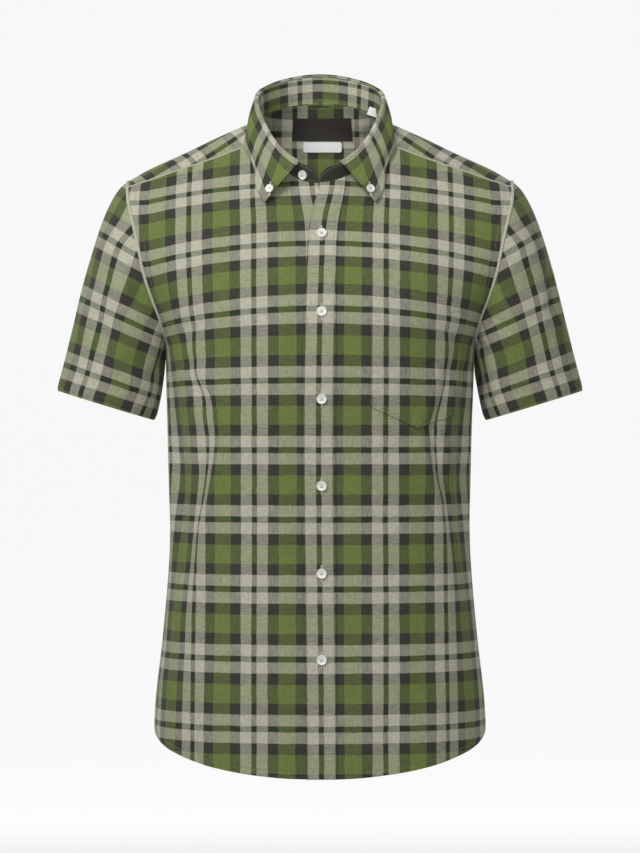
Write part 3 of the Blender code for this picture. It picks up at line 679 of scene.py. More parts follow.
def warp_run(height):
    """Length of cloth up the centre front, from where a fine weft stripe crosses it."""
    heights = np.append(HEIGHTS, 60.0)
    run = length_along(heights, through(DEPTHS, 1, np.minimum(heights, FRONT_NECK)))
    return np.interp(height, heights, run) - np.interp(WEFT_ZERO, heights, run)


def body_threads(places, side, back=False):
    """Cloth coordinates on the body: along the weft from the centre line, and along the warp."""
    run, height = run_of(places), places[..., 1]
    droop = DROOP * smooth(-360, -200, height) * np.minimum((run / 170) ** 2, 1.5)
    spread = 0.0
    if not back:
        spread = (through(OPENING, 2, height) - 19.2) * np.exp(-np.maximum(np.abs(run) - 20, 0) / 45)
        droop += (10 * np.minimum((run / 160) ** 2, 1.6) - 3) * smooth(-260, -170, height)
    run = run + tuck_shift(run, height, places[..., 0] > 1, side)
    return pair((run - spread) * side, warp_run(height) + droop)


def show(name, data):
    """A new object in the scene."""
    obj = bpy.data.objects.new(name, data)
    SCENE.collection.objects.link(obj)
    return obj


def make_piece(name, vertices, faces, finish, threads=None):
    """An object from points in millimetres and faces, with its cloth coordinates in metres."""
    mesh = bpy.data.meshes.new(name)
    mesh.from_pydata((np.asarray(vertices) * MM).tolist(), [], faces)
    if threads is not None:
        layer = mesh.uv_layers.new(name="threads")
        order = np.empty(len(mesh.loops), dtype=np.int32)
        mesh.loops.foreach_get("vertex_index", order)
        layer.uv.foreach_set("vector", (np.asarray(threads)[order] * MM).astype(np.float32).ravel())
    mesh.shade_smooth()
    mesh.set_sharp_from_angle(angle=SHARP)
    mesh.materials.append(finish)
    return show(name, mesh)


def cloth_wall(name, outer, inner, threads, finish, closed=False, seams=None):
    """A thin closed wall of cloth between two grids of points."""
    rows, columns = outer.shape[:2]
    count = rows * columns
    last = columns if closed else columns - 1
    i, j = np.meshgrid(np.arange(rows - 1), np.arange(last), indexing="ij")
    a, b = i * columns + j, i * columns + (j + 1) % columns
    quads = np.stack((a, b, b + columns, a + columns), axis=-1).reshape(-1, 4)
    i, j = np.arange(rows - 1) * columns, np.arange(last)
    after, top = (j + 1) % columns, (rows - 1) * columns
    rims = [(after, j), (j + top, after + top)]
    if not closed:
        rims += [(i, i + columns), (i + 2 * columns - 1, i + columns - 1)]
    rims = [np.stack((a, b, b + count, a + count), axis=-1) for a, b in rims]
    faces = np.concatenate([quads, quads[:, ::-1] + count] + rims)
    vertices = np.concatenate((outer.reshape(-1, 3), inner.reshape(-1, 3)))
    corners = vertices[faces]
    crossed = np.cross(corners[:, 2] - corners[:, 0], corners[:, 3] - corners[:, 1])
    if np.sum((corners[:, 0] - corners.mean(axis=(0, 1))) * crossed) < 0:
        faces = faces[:, ::-1]
    obj = make_piece(name, vertices, faces.tolist(), finish, np.tile(threads.reshape(-1, 2), (2, 1)))
    away = np.full(count, FAR) if seams is None else seams.ravel()
    layer = obj.data.attributes.new("seam", "FLOAT", "POINT")
    layer.data.foreach_set("value", (np.tile(away, 2) * MM).astype(np.float32))
    return obj


# Finishes


class Wire:
    """A value in a finish, worked with in plain sums."""

    def __init__(self, finish, socket):
        self.finish, self.socket = finish, socket

    def sum(self, how, *others):
        return self.finish.node("Math", {"operation": how}, [self, *others])

    def __add__(self, other):
        return self.sum("ADD", other)

    def __mul__(self, other):
        return self.sum("MULTIPLY", other)

    def __sub__(self, other):
        return self.sum("SUBTRACT", other)


class Finish:
    """A material and its nodes."""

    def __init__(self, name, **constants):
        self.material = bpy.data.materials.new(name)
        self.material.use_nodes = True
        self.tree = self.material.node_tree
        self.shader = self.tree.nodes["Principled BSDF"]
        for socket, value in constants.items():
            self.shader.inputs[socket.replace("_", " ")].default_value = value

    def node(self, kind, settings=None, values=(), out=0):
        """A node, its settings made first, then the values or links of its sockets."""
        node = self.tree.nodes.new("ShaderNode" + kind)
        for key, value in (settings or {}).items():
            setattr(node, key, value)
        for key, value in values.items() if isinstance(values, dict) else enumerate(values):
            if isinstance(value, Wire):
                self.tree.links.new(value.socket, node.inputs[key])
            else:
                node.inputs[key].default_value = value
        return Wire(self, node.outputs[out])

    def noise(self, vector, scale, detail, **more):
        """Noise over the two directions of the cloth."""
        values = {"Vector": vector, "Scale": scale, "Detail": detail, **more}
        return self.node("TexNoise", {"noise_dimensions": "2D"}, values)

    def ramp(self, place, stops):
        wire = self.node("ValToRGB", None, [place])
        elements = wire.socket.node.color_ramp.elements
        while len(elements) < len(stops):
            elements.new(0.5)
        for element, (at, colour) in zip(elements, stops):
            element.position = at
            element.color = (*colour, 1.0)
        return wire

    def blend(self, share, first, second, how="MIX"):
        """Two colours mixed by a share."""
        first, second = ((*colour, 1.0) if isinstance(colour, tuple) else colour for colour in (first, second))
        settings = {"data_type": "RGBA", "blend_type": how}
        return self.node("Mix", settings, {0: share, 6: first, 7: second}, out=2)

    def feed(self, socket, wire):
        self.tree.links.new(wire.socket, self.shader.inputs[socket])

    def emboss(self, height, strength):
        bump = self.node("Bump", None, {"Strength": strength, "Distance": 1.0, "Height": height})
        self.feed("Normal", bump)


def stripe_stops(stripes):
    """Ramp stops of one repeat, the fine stripe in its middle cut by the repeat's ends."""
    total = sum(width for _, width in stripes)
    fine = YARNS[stripes[0][0]]
    stops, at = [], -stripes[0][1] / 2
    for colour, width in stripes:
        stops.append((max((at + EDGE_SOFT) / total, 0.0), YARNS[colour]))
        at += width
        stops.append(((at - EDGE_SOFT) / total, YARNS[colour]))
    return stops + [((at + EDGE_SOFT) / total, fine), (1.0, fine)]


def check_cloth():
    """Woven check: warp and weft yarns side by side, with slubs, a fine weave and a soft crumple."""
    sheen = {"Sheen_Weight": 0.12, "Sheen_Roughness": 0.45}
    finish = Finish("check_cotton", Roughness=0.86, Specular_IOR_Level=0.28, **sheen)
    threads = finish.node("UVMap", {"uv_map": "threads"})
    u, v = (finish.node("SeparateXYZ", None, [threads], out=k) for k in (0, 1))
    wander = (finish.noise(threads, 60.0, 2.0) - 0.5) * 0.0012
    colours = []
    for value, stripes in ((u, WARP), (v, WEFT)):
        repeat = sum(width for _, width in stripes) * MM
        place = (value + wander).sum("DIVIDE", repeat).sum("FRACT")
        colours.append(finish.ramp(place, stripe_stops(stripes)))
    slubs = []
    for scales in (SLUB_SCALES, SLUB_SCALES[::-1]):
        stretched = finish.node("VectorMath", {"operation": "MULTIPLY"}, [threads, (*scales, 1.0)])
        slubs.append(finish.noise(stretched, 1.0, 2.0))
    over = (u * YARN_WAVE).sum("SINE") * (v * YARN_WAVE).sum("SINE")
    share = over * 0.10 + 0.5 + (slubs[0] - slubs[1]) * 0.42
    patches = finish.noise(threads, 260.0, 4.0, Roughness=0.65)
    shade = (patches - 0.5) * 0.50 + (slubs[0] + slubs[1] - 1.0) * 0.42 + 1.0
    shade = finish.node("CombineColor", None, [shade] * 3)
    finish.feed("Base Color", finish.blend(1.0, finish.blend(share, *colours), shade, "MULTIPLY"))
    crumple = finish.noise(threads, 55.0, 4.0, Roughness=0.6, Distortion=0.4)
    seam = finish.node("Attribute", {"attribute_name": "seam"}, out=2)
    groove, beside = ((seam * seam * (-1 / wide**2)).sum("EXPONENT") for wide in (GROOVE_WIDE, PUCKER_WIDE))
    puckers = finish.noise(threads, 210.0, 1.0)
    height = crumple * 0.0011 + over * 0.00006 + patches * 0.00022
    finish.emboss(height - groove * 0.0005 + beside * (puckers - 0.5) * 0.0016, 0.55)
    return finish.material


def plain_finish(name, colour, roughness, weave=0.0):
    finish = Finish(name, Roughness=roughness)
    coordinates = finish.node("TexCoord", out=3)
    grain = finish.node("TexNoise", None, {"Vector": coordinates, "Scale": 900.0, "Detail": 3.0})
    dark, light = tuple(c * 0.88 for c in colour), tuple(min(c * 1.08, 1.0) for c in colour)
    finish.feed("Base Color", finish.blend(grain, dark, light))
    if weave:
        finish.emboss(grain * weave, 0.4)
    return finish.material


COTTON = check_cloth()
SEWING = plain_finish("sewing_thread", THREAD, 0.7)
WHITE_THREAD = plain_finish("button_thread", (0.56, 0.57, 0.48), 0.6)
ROLLED = plain_finish("rolled_cotton", (0.52, 0.52, 0.40), 0.85, 0.0006)


def put_on(obj, node=None):
    """The piece rides on the shirt and stands for its node."""
    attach(obj, "root")
    if node:
        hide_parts(node)
    return obj


def both_halves(places):
    """Points and threads of both halves of a piece that meet in the last column of the half."""
    def joined(make, **more):
        return np.concatenate((make(places, 1, **more), make(places, -1, **more)[:, -2::-1]), axis=1)

    return joined(body_points), joined(body_threads, back=True)


def line_in(edges, inset, first=0, last=None, sewn=True):
    """Lines set in from edges of a grid, for sew: sewn, or only drawn in."""
    return [(edge, inset, first, last, sewn) for edge in edges.split()]


def sewn_wall(node, outer, inner, normals, threads, seams=(), closed=False):
    """A piece of cotton with its stitching."""
    near = sew(node, outer, normals, seams, closed)
    return put_on(cloth_wall(node + "_cloth", outer, inner, threads, COTTON, closed, near), node)


def lay_cloth(node, points, threads, lift=0.0, thick=CLOTH, closed=False, away_from=None, seams=()):
    """A panel of cotton on its form, lifted off it where it lies on another."""
    normals = grid_normals(points, away_from, closed)
    outer = points + normals * lift
    return sewn_wall(node, outer, outer - normals * thick, normals, threads, seams, closed)


def turn_to(grid, edge):
    """The grid with one of its edges as its first row."""
    grid = np.swapaxes(grid, 0, 1) if edge in ("first", "last") else grid
    return grid[::-1] if edge in ("top", "last") else grid


def turn_back(grid, edge):
    grid = grid[::-1] if edge in ("top", "last") else grid
    return np.swapaxes(grid, 0, 1) if edge in ("first", "last") else grid


def sew(name, points, normals, seams, closed=False):
    """Stitching set in from the edges of a grid, and the distance of each point from the nearest line of it."""
    near = np.full(points.shape[:2], FAR)
    lines = []
    for edge, inset, first, last, sewn in seams:
        part = slice(first, last)
        grid = turn_to(np.concatenate((points, normals), axis=-1), edge)
        run = run_along(grid[..., :3], 0)
        away = np.full(run.shape, FAR)
        away[:, part] = run[:, part] - inset
        away = turn_back(away, edge)
        near = np.where(np.abs(away) < np.abs(near), away, near)
        if sewn:
            columns = zip(run.T[part], grid.swapaxes(0, 1)[part])
            line = np.array([[np.interp(inset, at, values) for values in column.T] for at, column in columns])
            line = np.concatenate((line, line[:1])) if closed and edge in ("foot", "top") else line
            lines.append((line[:, :3], line[:, 3:]))
    if lines:
        put_on(stitches(name + "_stitches", lines))
    return near


def stitches(name, lines):
    """Rows of single stitches, each a small pad of thread."""
    pads = []
    for line, normals in lines:
        run = np.concatenate(([0.0], np.cumsum(np.linalg.norm(np.diff(line, axis=0), axis=1))))
        starts = np.arange(STITCH_STEP / 2, run[-1] - STITCH_LONG, STITCH_STEP)
        start, end, up = (np.array([np.interp(at, run, column) for column in values.T]).T for at, values in
                          ((starts, line), (starts + STITCH_LONG, line), (starts, normals)))
        up, middle = unit(up), (start + end) / 2
        across = np.cross(unit(end - start), up) * STITCH_HALF
        pads.append(np.stack((start, middle - across, end, middle + across, middle + up * STITCH_LIFT), axis=1))
    pads = np.concatenate(pads)
    sides = ((0, 1, 2, 3), (1, 0, 4), (2, 1, 4), (3, 2, 4), (0, 3, 4))
    faces = [tuple(5 * k + corner for corner in side) for k in range(len(pads)) for side in sides]
    return make_piece(name, pads.reshape(-1, 3), faces, SEWING)


def cord(name, line, radius, finish, closed=False, sides=6):
    """A round cord of cloth or thread along a line."""
    line = np.asarray(line, dtype=float)
    ahead = unit(np.roll(line, -1, axis=0) - np.roll(line, 1, axis=0) if closed else np.gradient(line, axis=0))
    aside = unit(np.cross(ahead, ACROSS_CORDS))
    up = np.cross(aside, ahead)
    turns = np.linspace(0, 2 * pi, sides, endpoint=False)
    rings = [line + aside * radius * cos(a) + up * radius * sin(a) for a in turns]
    count = len(line)
    corners = [[i % count * sides + k for k in range(sides)] for i in range(count + 1)]
    faces = []
    for a, b in zip(corners, corners[1:] if closed else corners[1:-1]):
        faces += zip(a, b, b[1:] + b[:1], a[1:] + a[:1])
    if not closed:
        faces += [corners[0], corners[-2][::-1]]
    return put_on(make_piece(name, np.stack(rings, axis=1).reshape(-1, 3), faces, finish))


def make_fronts():
    for side, name in ((-1, "front_right"), (1, "front_left")):
        places = front_places(side)
        points = body_points(places, side, lap=side < 0)
        threads = body_threads(places, side)
        seams = line_in("foot", HEM_TURN) + line_in("last", ARM_TURN, SIDE_ROWS + 2)
        seams += line_in("last", 0.0, 0, SIDE_ROWS, False)
        seams += line_in("top", 0.0, STRIP_COLUMNS + NECK_COLUMNS, sewn=False)
        obj = lay_cloth(name, points, threads, seams=seams)
    strip = slice(0, STRIP_COLUMNS + 1)
    normals = grid_normals(points)[:, strip]
    height = places[:, strip, 1]
    centre = (through(OPENING, 1, height) + through(OPENING, 2, height)) / 2
    threads = pair(points[:, strip, 0] - centre, threads[:, strip, 1])
    lifted = points[:, strip] + normals * PLY
    placket = sewn_wall("placket", lifted, lifted - normals * 1.1, normals, threads, line_in("first last", 3.0))


def make_back():
    points, threads = both_halves(back_places())
    seams = line_in("first last", ARM_TURN, SIDE_ROWS + 2) + line_in("first last", 0.0, 0, SIDE_ROWS, False)
    seams += line_in("foot", HEM_TURN) + line_in("top", 0.0, sewn=False)
    obj = lay_cloth("back", points, threads, seams=seams)


def yoke_threads(points):
    """Cloth coordinates of the yoke: its weft slants off the front seam with the shoulder, and is level behind."""
    middle = points.shape[1] // 2
    ends = (points[:, :1], middle), (points[:, -1:], middle + 1)
    seam = np.concatenate([np.repeat(end, count, axis=1) for end, count in ends], axis=1)
    x, y, z = np.moveaxis(points, -1, 0)
    side = np.where(seam[..., 0] < 0, -1.0, 1.0)
    off = points - seam
    along = off[..., 0] * side * SHOULDER_WAY[0] + off[..., 2] * SHOULDER_WAY[1]
    deep = np.sqrt(np.maximum(np.sum(off * off, axis=-1) - along**2, 0))
    out = np.abs(seam[..., 0]) * 1.10 + along
    front = YOKE_TAKE * deep + YOKE_SLANT * (out - YOKE_LEVEL)
    behind = 0.35 * y - 1.2 * z + YOKE_BEHIND
    share = smooth(25, 85, y)
    across = (YOKE_TAKE * out - YOKE_SLANT * np.minimum(deep, 34) - YOKE_WARP) * side
    square = np.maximum(share, smooth(75, 30, np.abs(x)))
    return pair(across + (x - across) * square, front + (behind - front) * share)


def make_yokes():
    points, _ = both_halves(yoke_places())
    over = 2 * YOKE_ARM_COLUMNS
    seams = line_in("first last", 1.8) + line_in("top", ARM_TURN, 0, over - 1) + line_in("top", ARM_TURN, -over + 1)
    obj = lay_cloth("yoke_outer", points, yoke_threads(points), seams=seams + line_in("top", 1.8, over, -over))
    for column, mark in ((0, "left"), (-1, "right")):
        cord("yoke_seam_roll_" + mark, points[:, column], 0.9, ROLLED)
    obj = lay_cloth("yoke_inner", points, points[..., ::2] + INNER_YOKE_OFF, lift=-PLY)


SLEEVE_OUT = np.array([cos(CUFF_TILT), 0.0, sin(CUFF_TILT)])
SLEEVE_ALONG = np.array([sin(CUFF_TILT), 0.0, -cos(CUFF_TILT)])


def sleeve_place(points):
    """Turn round the sleeve in degrees, run round it, distance out from its axis, and length up from the cuff."""
    off = points - CUFF_MIDDLE
    out = off @ SLEEVE_OUT
    turn = np.arctan2(-off[..., 1] / CUFF_DEEP, out / CUFF_LONG)
    return np.degrees(turn), turn * SLEEVE_GIRTH, out, -(off @ SLEEVE_ALONG)


def sleeve_threads(points, side):
    """Cloth coordinates of a sleeve: its weft follows the cuff and tilts more the higher it lies."""
    turn, run, out, up = sleeve_place(points)
    run = run + 7.0 * smooth(68, 96, turn) * smooth(20, 70, up) * smooth(150, 95, up)
    run = run + np.sign(turn) * (2.4 * smooth(40, 0, up) - 7.3 * smooth(178, 215, up))
    return pair((run + SLEEVE_WARP) * side, SLEEVE_SPREAD * up * (1 - SLEEVE_BOW * out) + SLEEVE_WEFT)


def sleeve_creases(points, side):
    turn, _, _, up = sleeve_place(points)
    rows = SLEEVE_CREASES[side]
    return sum(valley(turn * DEGREE_LONG, up, ((a * DEGREE_LONG, up_a), (b * DEGREE_LONG, up_b)), half, rise)
               for a, up_a, b, up_b, half, rise in rows)


def sleeve_line(turn, side):
    start = body_points(arm_place(turn), side) * (side, 1, 1)
    end = SLEEVE_OUT * CUFF_LONG * cos(turn) - np.array([0, CUFF_DEEP, 0]) * sin(turn) + CUFF_MIDDLE
    lead, forward, rise, reach, hold = (value_of(SLEEVE_LINES, k, degrees(turn)) for k in range(1, 6))
    away = unit(np.array([lead, -forward, rise])) * reach
    s, s_lead, e, e_lead = hermite(steps(0, 1, SLEEVE_ROWS)[:, None])
    return start * s + end * e + away * s_lead + SLEEVE_ALONG * hold * e_lead


def sleeve_grid(side):
    front = steps(pi, YOKE_FRONT_TURN, ARM_ROWS)
    over = steps(YOKE_FRONT_TURN, 0, YOKE_ARM_COLUMNS)[1:]
    behind = steps(0, YOKE_BACK_TURN, YOKE_ARM_COLUMNS)[1:]
    back = steps(YOKE_BACK_TURN, -pi, ARM_ROWS)[1:-1]
    return np.stack([sleeve_line(turn, side) for turn in (*front, *over, *behind, *back)], axis=1)


def make_sleeves():
    for side, name in ((1, "sleeve_left"), (-1, "sleeve_right")):
        grid = sleeve_grid(side)
        threads = sleeve_threads(grid, side)
        middle = grid.mean(axis=1, keepdims=True)
        held = smooth(0, 0.16, np.linspace(0, 1, len(grid)))[:, None]
        turned_in = CUFF_TURN * np.clip(1 - sleeve_place(grid)[3] / CUFF_ROUND, 0, 1) ** 2
        lift = sleeve_creases(grid, side) * held - turned_in
        grid = (grid + grid_normals(grid, middle, closed=True) * lift[..., None]) * (side, 1, 1)
        middle = np.broadcast_to(middle * (side, 1, 1), grid.shape)
        seams = line_in("top", CUFF_HEM) + line_in("foot", 0.0, sewn=False)
        obj = lay_cloth(name, grid, threads, closed=True, away_from=middle, seams=seams)
        cord(name + "_seam_roll", grid[0], 2.0, ROLLED, closed=True, sides=8)


def collar_frame(turn, side):
    """Point of the neck seam, the way up to the top of the stand, and the way out."""
    rise = np.array([side, -1, 1]) * [value_of(STAND_RISE, column, turn) for column in (1, 2, 3)]
    ahead, behind = (body_points(neck_place(min(max(turn + step, 0.3), 179.7)), side) for step in (1.0, -1.0))
    return body_points(neck_place(turn), side), rise, unit(np.cross((ahead - behind) * side, rise))


def stand_column(turn, side):
    first = degrees(asin(abs(value_of(OPENING, 1 if side > 0 else 3, FRONT_NECK)) / NECK_WIDTH))
    turn = max(turn, first)
    seam, rise, out = collar_frame(turn, side)
    run = min(NECK_WIDTH * radians(turn - first) / STAND_ROUND, 1)
    share = STAND_LOW + (1 - STAND_LOW) * sqrt(1 - (1 - run) ** 2)
    heights = steps(0, 1, 8)[:, None]
    outer = seam + unit(rise) * 0.2 + rise * share * heights
    puff = np.sin(heights * pi) * 0.5
    return outer + out * puff * share, outer - out * (STAND_WALL + puff * 0.4)


def leaf_column(turn, side):
    seam, rise, out = collar_frame(turn, side)
    up = unit(rise)
    top = seam + rise + up * (STAND_SEAM_GAP + 0.3)
    outer, under = [top - out * STAND_WALL], [top]
    for angle in np.radians(range(160, -20, -20)):
        way = out * cos(angle) + up * sin(angle)
        for face, radius in ((outer, LEAF_ROLL + LEAF_WALL), (under, LEAF_ROLL)):
            face.append(top + out * LEAF_ROLL + way * radius)
    way, height, lift = (value_of(LEAF_EDGE, column, turn) for column in (1, 2, 3))
    edge = body_points((way, height), side)
    moves = ((0.01, 0), (-0.01, 0), (0, 1.5), (0, -1.5))
    near = body_points([(way + more, height + up_more) for more, up_more in moves], side)
    normal = unit(np.cross(near[0] - near[1], near[2] - near[3]) * side)
    bulge = unit(out + normal) * LEAF_BULGE * (1 - 0.8 * smooth(60, 100, turn))
    t = steps(0, 1, 24)[1:, None]
    return [np.concatenate((face, face[-1] + (edge + normal * off - face[-1]) * t + bulge * 4 * t * (1 - t)))
            for face, off in ((outer, lift + LEAF_WALL), (under, lift))]


def collar_grid(turns, make):
    """Outer and inner face of a part of the collar, smooth across the centre back."""
    columns = [make(turn, 1) for turn in turns] + [make(turn, -1) for turn in turns[-2::-1]]
    grids = [np.stack(face, axis=1) for face in zip(*columns)]
    low, high = len(turns) - 1 - BEHIND_COLUMNS, len(turns) - 1 + BEHIND_COLUMNS
    t = steps(0, 1, 2 * BEHIND_COLUMNS)[None, :, None]
    for grid in grids:
        start, end = grid[:, low, None], grid[:, high, None]
        lead = unit(start - grid[:, low - 2, None]) * np.linalg.norm(end - start, axis=-1, keepdims=True)
        bow = (lead - (end - start)) * (0, 1, 1)
        grid[:, low: high + 1] = start + (end - start) * t + bow * t * (1 - t)
    return grids


def run_along(points, axis):
    """Length along the rows or columns of a grid, from its first edge."""
    lengths = np.linalg.norm(np.diff(points, axis=axis), axis=-1)
    return np.cumsum(np.pad(lengths, [(int(k == axis), 0) for k in (0, 1)]), axis=axis)


def make_collar():
    turns = steps(LEAF_START, 180, LEAF_COLUMNS)
    front = np.concatenate((np.linspace(0, 14, 24) ** 2 / 14, steps(14, LEAF_START, 5)[1:-1]))
    outer, inner = collar_grid(np.concatenate((front, turns)), stand_column)
    run = run_along(outer[:1], 1)
    run = np.broadcast_to(run - run[:, run.shape[1] // 2, None], outer.shape[:2])
    # Towards the front ends the threads slow down so that the ends stay in the dark stripes: partly the cloth's own
    # dark check, partly painted shade under the collar points
    ends = smooth(115, 150, np.abs(run))
    rise = run_along(outer, 0)
    behind, before = (start + rise * take for start, take in STAND_WEFT)
    level = behind * (1 - ends) + before * ends
    along = (STAND_WARP[0] - run) * (1 - ends) + (STAND_WARP[1] + 0.25 * (np.abs(run) - STAND_FRONT)) * ends
    seams = line_in("foot", 2.0) + line_in("top", 2.5, 0, 32) + line_in("top", 2.5, -32)
    stand = sewn_wall("collar_stand", outer, inner, unit(outer - inner), pair(along, level), seams)
    outer, under = collar_grid(turns, leaf_column)
    run = run_along(outer[10:11], 1)[0]
    run = run[LEAF_COLUMNS] - run
    out = np.abs(run)
    fall = run_along(outer, 0)
    fall = (fall - fall[5]) * (1.44 - 0.39 * smooth(205, 245, out)) + 12.0 * smooth(130, 90, out)
    slant = out - fall * (0.12 * smooth(120, 180, out) + 0.30 * smooth(185, 235, out)) - LEAF_FINE
    threads = pair(np.where(run > -0.001, slant, -slant - 2 * LEAF_FINE), fall + LEAF_WEFT)
    seams = line_in("top", 5.0) + line_in("first last", 5.0, 6)
    leaf = sewn_wall("collar_leaf", outer, under, unit(outer - under), threads, seams)


def pocket_places():
    t, s = steps(0, 1, POCKET_GRID)[:, None], steps(0, 1, POCKET_GRID)[None]
    top = POCKET_TOP[0] + (POCKET_TOP[1] - POCKET_TOP[0]) * s
    foot = POCKET_CORNERS[0] + (POCKET_CORNERS[1] - POCKET_CORNERS[0]) * s
    foot = foot + (POCKET_POINT - sum(POCKET_CORNERS) / 2) * (1 - np.abs(2 * s - 1))
    height = foot + (top - foot) * t
    inner, outer = (through(POCKET_SIDES, column, height) for column in (1, 2))
    return pair(way_of_run(inner + (outer - inner) * s, height), height)


def make_pocket():
    places = pocket_places()
    seams = line_in("first last foot", 2.2) + line_in("top", 25.0)
    threads = body_threads(places, 1)
    obj = lay_cloth("pocket", body_points(places, 1), threads, lift=1.7, thick=0.9, seams=seams)


def make_labels():
    dark = plain_finish("label_satin", (0.030, 0.026, 0.023), 0.55, 0.0004)
    white = plain_finish("label_white", (0.88, 0.88, 0.88), 0.7, 0.0003)
    finishes = {"label_main": (dark, 0.3), "label_fit": (white, 2.4)}
    for name, middle, level, width, height, lift in LABELS:
        finish, corner = finishes[name]
        share = np.sin(steps(-pi / 2, pi / 2, 32))
        run, high = np.meshgrid(middle - share * width / 2, steps(-0.5, 0.5, 12))
        into = np.minimum(width / 2 * (1 - np.abs(share)) / corner, 1.0)
        high = level + high * (height - 2 * corner * (1 - np.sqrt(1 - (1 - into) ** 2)))
        places = pair(way_of_run(np.abs(run), high, True), high)
        points = np.where((run >= 0)[..., None], body_points(places, 1), body_points(places, -1))
        normals = grid_normals(points)
        near = points - normals * (PLY + 1.3 + lift)
        obj = put_on(cloth_wall(name + "_woven", near, near - normals * LABEL_THICK, places * 0, finish), name)
    seam = np.array([collar_frame(turn, 1)[0] for turn in steps(95, 150, 55)])
    hung = np.array([np.interp(-TAB_ACROSS, -seam[:, 0], line) for line in seam.T]) + TAB_OFF
    lean = np.array([cos(TAB_LEAN), sin(TAB_LEAN)])
    along, down = np.array([lean[0], 0.0, -lean[1]]), np.array([-lean[1], -0.15, -lean[0]])
    u, v = (share[..., None] for share in np.meshgrid(steps(0.5, -0.5, 16), steps(0.5, -0.5, 10)))
    tab = hung + along * u * TAB_SIZE[0] + down * v * TAB_SIZE[1] - (1 - 4 * u**2) * (0, 1, 0)
    flat = np.concatenate((u, v), axis=-1)
    obj = put_on(cloth_wall("label_size_woven", tab, tab + (0, LABEL_THICK, 0), flat, white), "label_size")


def cylinder(radius, depth, place=(0.0, 0.0, 0.0), vertices=24):
    bpy.ops.object.select_all(action="DESELECT")
    bpy.ops.mesh.primitive_cylinder_add(vertices=vertices, radius=radius * MM, depth=depth * MM,
                                        location=[value * MM for value in place])
    return bpy.context.object


def button_pattern():
    """One button: a disc with a raised rim, a dished middle and four holes."""
    button = cylinder(BUTTON_RADIUS, 2.6, vertices=48)
    bpy.ops.object.mode_set(mode="EDIT")
    bpy.ops.mesh.select_mode(type="FACE")
    bpy.ops.mesh.select_all(action="DESELECT")
    bpy.ops.object.mode_set(mode="OBJECT")
    for polygon in button.data.polygons:
        polygon.select = polygon.normal.z > 0.9
    bpy.ops.object.mode_set(mode="EDIT")
    for thickness, depth in ((0.9, 0.0), (0.9, -0.75), (0.6, -0.1)):
        bpy.ops.mesh.inset(thickness=thickness * MM, depth=depth * MM)
    bpy.ops.object.mode_set(mode="OBJECT")
    cut(button, "BEVEL", width=0.35 * MM, segments=3, limit_method="ANGLE", angle_limit=radians(25))
    for x, y in ((1, 1), (1, -1), (-1, 1), (-1, -1)):
        hole = cylinder(HOLE_RADIUS, 8.0, (x * HOLE_PLACE, y * HOLE_PLACE, 0.0))
        bpy.ops.object.select_all(action="DESELECT")
        button.select_set(True)
        bpy.context.view_layer.objects.active = button
        cut(button, "BOOLEAN", operation="DIFFERENCE", object=hole)
        bpy.data.objects.remove(hole, do_unlink=True)
    bpy.ops.object.shade_smooth_by_angle(angle=SHARP)
    return button


def cut(obj, kind, **settings):
    """One cut or rounding of a solid, applied."""
    modifier = obj.modifiers.new("cut", kind)
    for key, value in settings.items():
        setattr(modifier, key, value)
    bpy.ops.object.modifier_apply(modifier="cut")


def make_buttons():
    pearl = plain_finish("button_white", (0.91, 0.91, 0.86), 0.24)
    pearl.node_tree.nodes["Principled BSDF"].inputs["Coat Weight"].default_value = 0.4
    pattern = button_pattern()
    pattern.data.materials.append(pearl)
    for node in [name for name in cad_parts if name.startswith("button")]:
        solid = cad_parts[node]
        corners = np.array([solid.matrix_world @ vertex.co for vertex in solid.data.vertices])
        middle = (corners.max(axis=0) + corners.min(axis=0)) / 2
        _, _, ways = np.linalg.svd(corners - corners.mean(axis=0), full_matrices=False)
        axis = ways[2] if ways[2][1] < 0 else -ways[2]
        scale = np.ptp((corners - middle) @ ways[0]) / 2 / (BUTTON_RADIUS * MM)
        upright = unit(np.array([0, 0, 1]) - axis * axis[2])
        turned = np.stack((np.cross(upright, axis), upright, axis), axis=1)
        turn = Matrix(turned.tolist()).to_quaternion()
        button = show(node + "_pearl", pattern.data.copy())
        button.data.transform(Matrix.LocRotScale(Vector(middle), turn, Vector([scale] * 3)))
        put_on(button, node)
        middle = middle / MM
        crossing = np.array(CROSSING) * (HOLE_PLACE, HOLE_PLACE, 1)
        for flip, mark in ((1, "a"), (-1, "b")):
            line = crossing * (flip, 1, 1 + 0.12 * flip) * scale @ turned.T + middle
            cord(node + "_thread_" + mark, line, 0.3, WHITE_THREAD)
        if node != "button_stand":
            long, wide = 9.6 if node[-1].isdigit() else 8.6, 0.5
            turns = np.linspace(0, 2 * pi, 40, endpoint=False)
            up = (long - wide) * np.clip(np.sin(turns) * 1.6, -1, 1) + wide * np.sin(turns)
            edge = np.stack((wide * np.cos(turns), up, np.full(40, HOLE_DEPTH)), axis=1) @ turned.T + middle
            cord(node + "_hole_edge", edge, 0.45, WHITE_THREAD, closed=True)
    bpy.data.objects.remove(pattern, do_unlink=True)


def stand_at(obj, place, aim):
    """A lamp or the camera in its place, turned to what it looks at."""
    obj.location = place
    obj.rotation_euler = (Vector(aim) - obj.location).to_track_quat("-Z", "Y").to_euler()


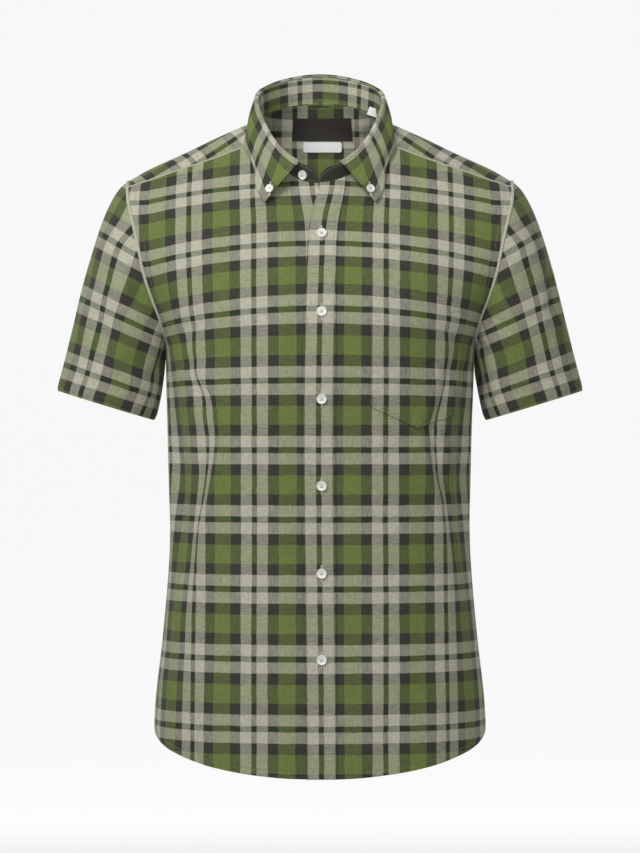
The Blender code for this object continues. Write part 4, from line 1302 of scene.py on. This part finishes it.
def studio():
    """A pale floor that runs up into a pale wall, soft lights, and the camera in front."""
    paper = Finish("pale_paper", Roughness=0.9, Base_Color=(0.12, 0.12, 0.12, 1.0), Emission_Strength=1.0)
    behind = paper.node("SeparateXYZ", None, [paper.node("TexCoord", out=3)], out=1)
    wall = paper.node("MapRange", None, [behind, 0.4, 3.2, 0.0, 1.0])
    paper.feed("Emission Color", paper.blend(wall, (0.22, 0.22, 0.22), (0.868, 0.868, 0.870)))
    bend = [(BEND_START + BEND * sin(a), FLOOR + BEND * (1 - cos(a))) for a in steps(0.1, pi / 2, 13)]
    profile = [(-FAR_EDGE, FLOOR), (BEND_START, FLOOR), *bend, (BEND_START + BEND, FAR_EDGE)]
    vertices = np.array([(x, y, z) for y, z in profile for x in (-FAR_EDGE, FAR_EDGE)]) / MM
    faces = [(2 * k, 2 * k + 1, 2 * k + 3, 2 * k + 2) for k in range(len(profile) - 1)]
    sweep = make_piece("backdrop", vertices, faces, paper.material)
    world = bpy.data.worlds.new("soft_sky")
    SCENE.world = world
    world.use_nodes = True
    sky = world.node_tree.nodes["Background"].inputs
    sky["Color"].default_value = (1.0, 1.0, 1.0, 1.0)
    sky["Strength"].default_value = 0.28
    soft = {"shape": "DISK", "size": 1.2}
    narrow = {"spot_size": radians(2.5), "spot_blend": 1.0, "shadow_soft_size": 0.03}
    for name, kind, power, settings, place, aim in (
        ("key", "AREA", 34.5, soft, (-1.15, -1.7, 1.25), (0, 0, -0.35)),
        ("fill", "AREA", 20.0, soft, (0.4, -3.1, 0.25), (0, 0, -0.35)),
        ("into_the_neck", "SPOT", 150.0, narrow, (0.0, -3.2, 0.1), (0.002, 0.04, 0.012)),
    ):
        light = bpy.data.lights.new(name, kind)
        for key, value in settings.items():
            setattr(light, key, value)
        light.energy = power
        stand_at(show(name, light), place, aim)
    camera = bpy.data.cameras.new("camera")
    camera.sensor_fit = "VERTICAL"
    camera.sensor_height = SENSOR
    camera.lens = SENSOR * SEEN_FROM / SEEN_HEIGHT
    SCENE.camera = show("camera", camera)
    SCENE.camera.location = (0.0, -3.45, -0.335)
    SCENE.camera.rotation_euler = (pi / 2, 0.0, 0.0)
    SCENE.view_settings.view_transform = "Standard"


studio()
make_fronts()
make_back()
make_yokes()
make_sleeves()
make_collar()
make_pocket()
make_labels()
make_buttons()
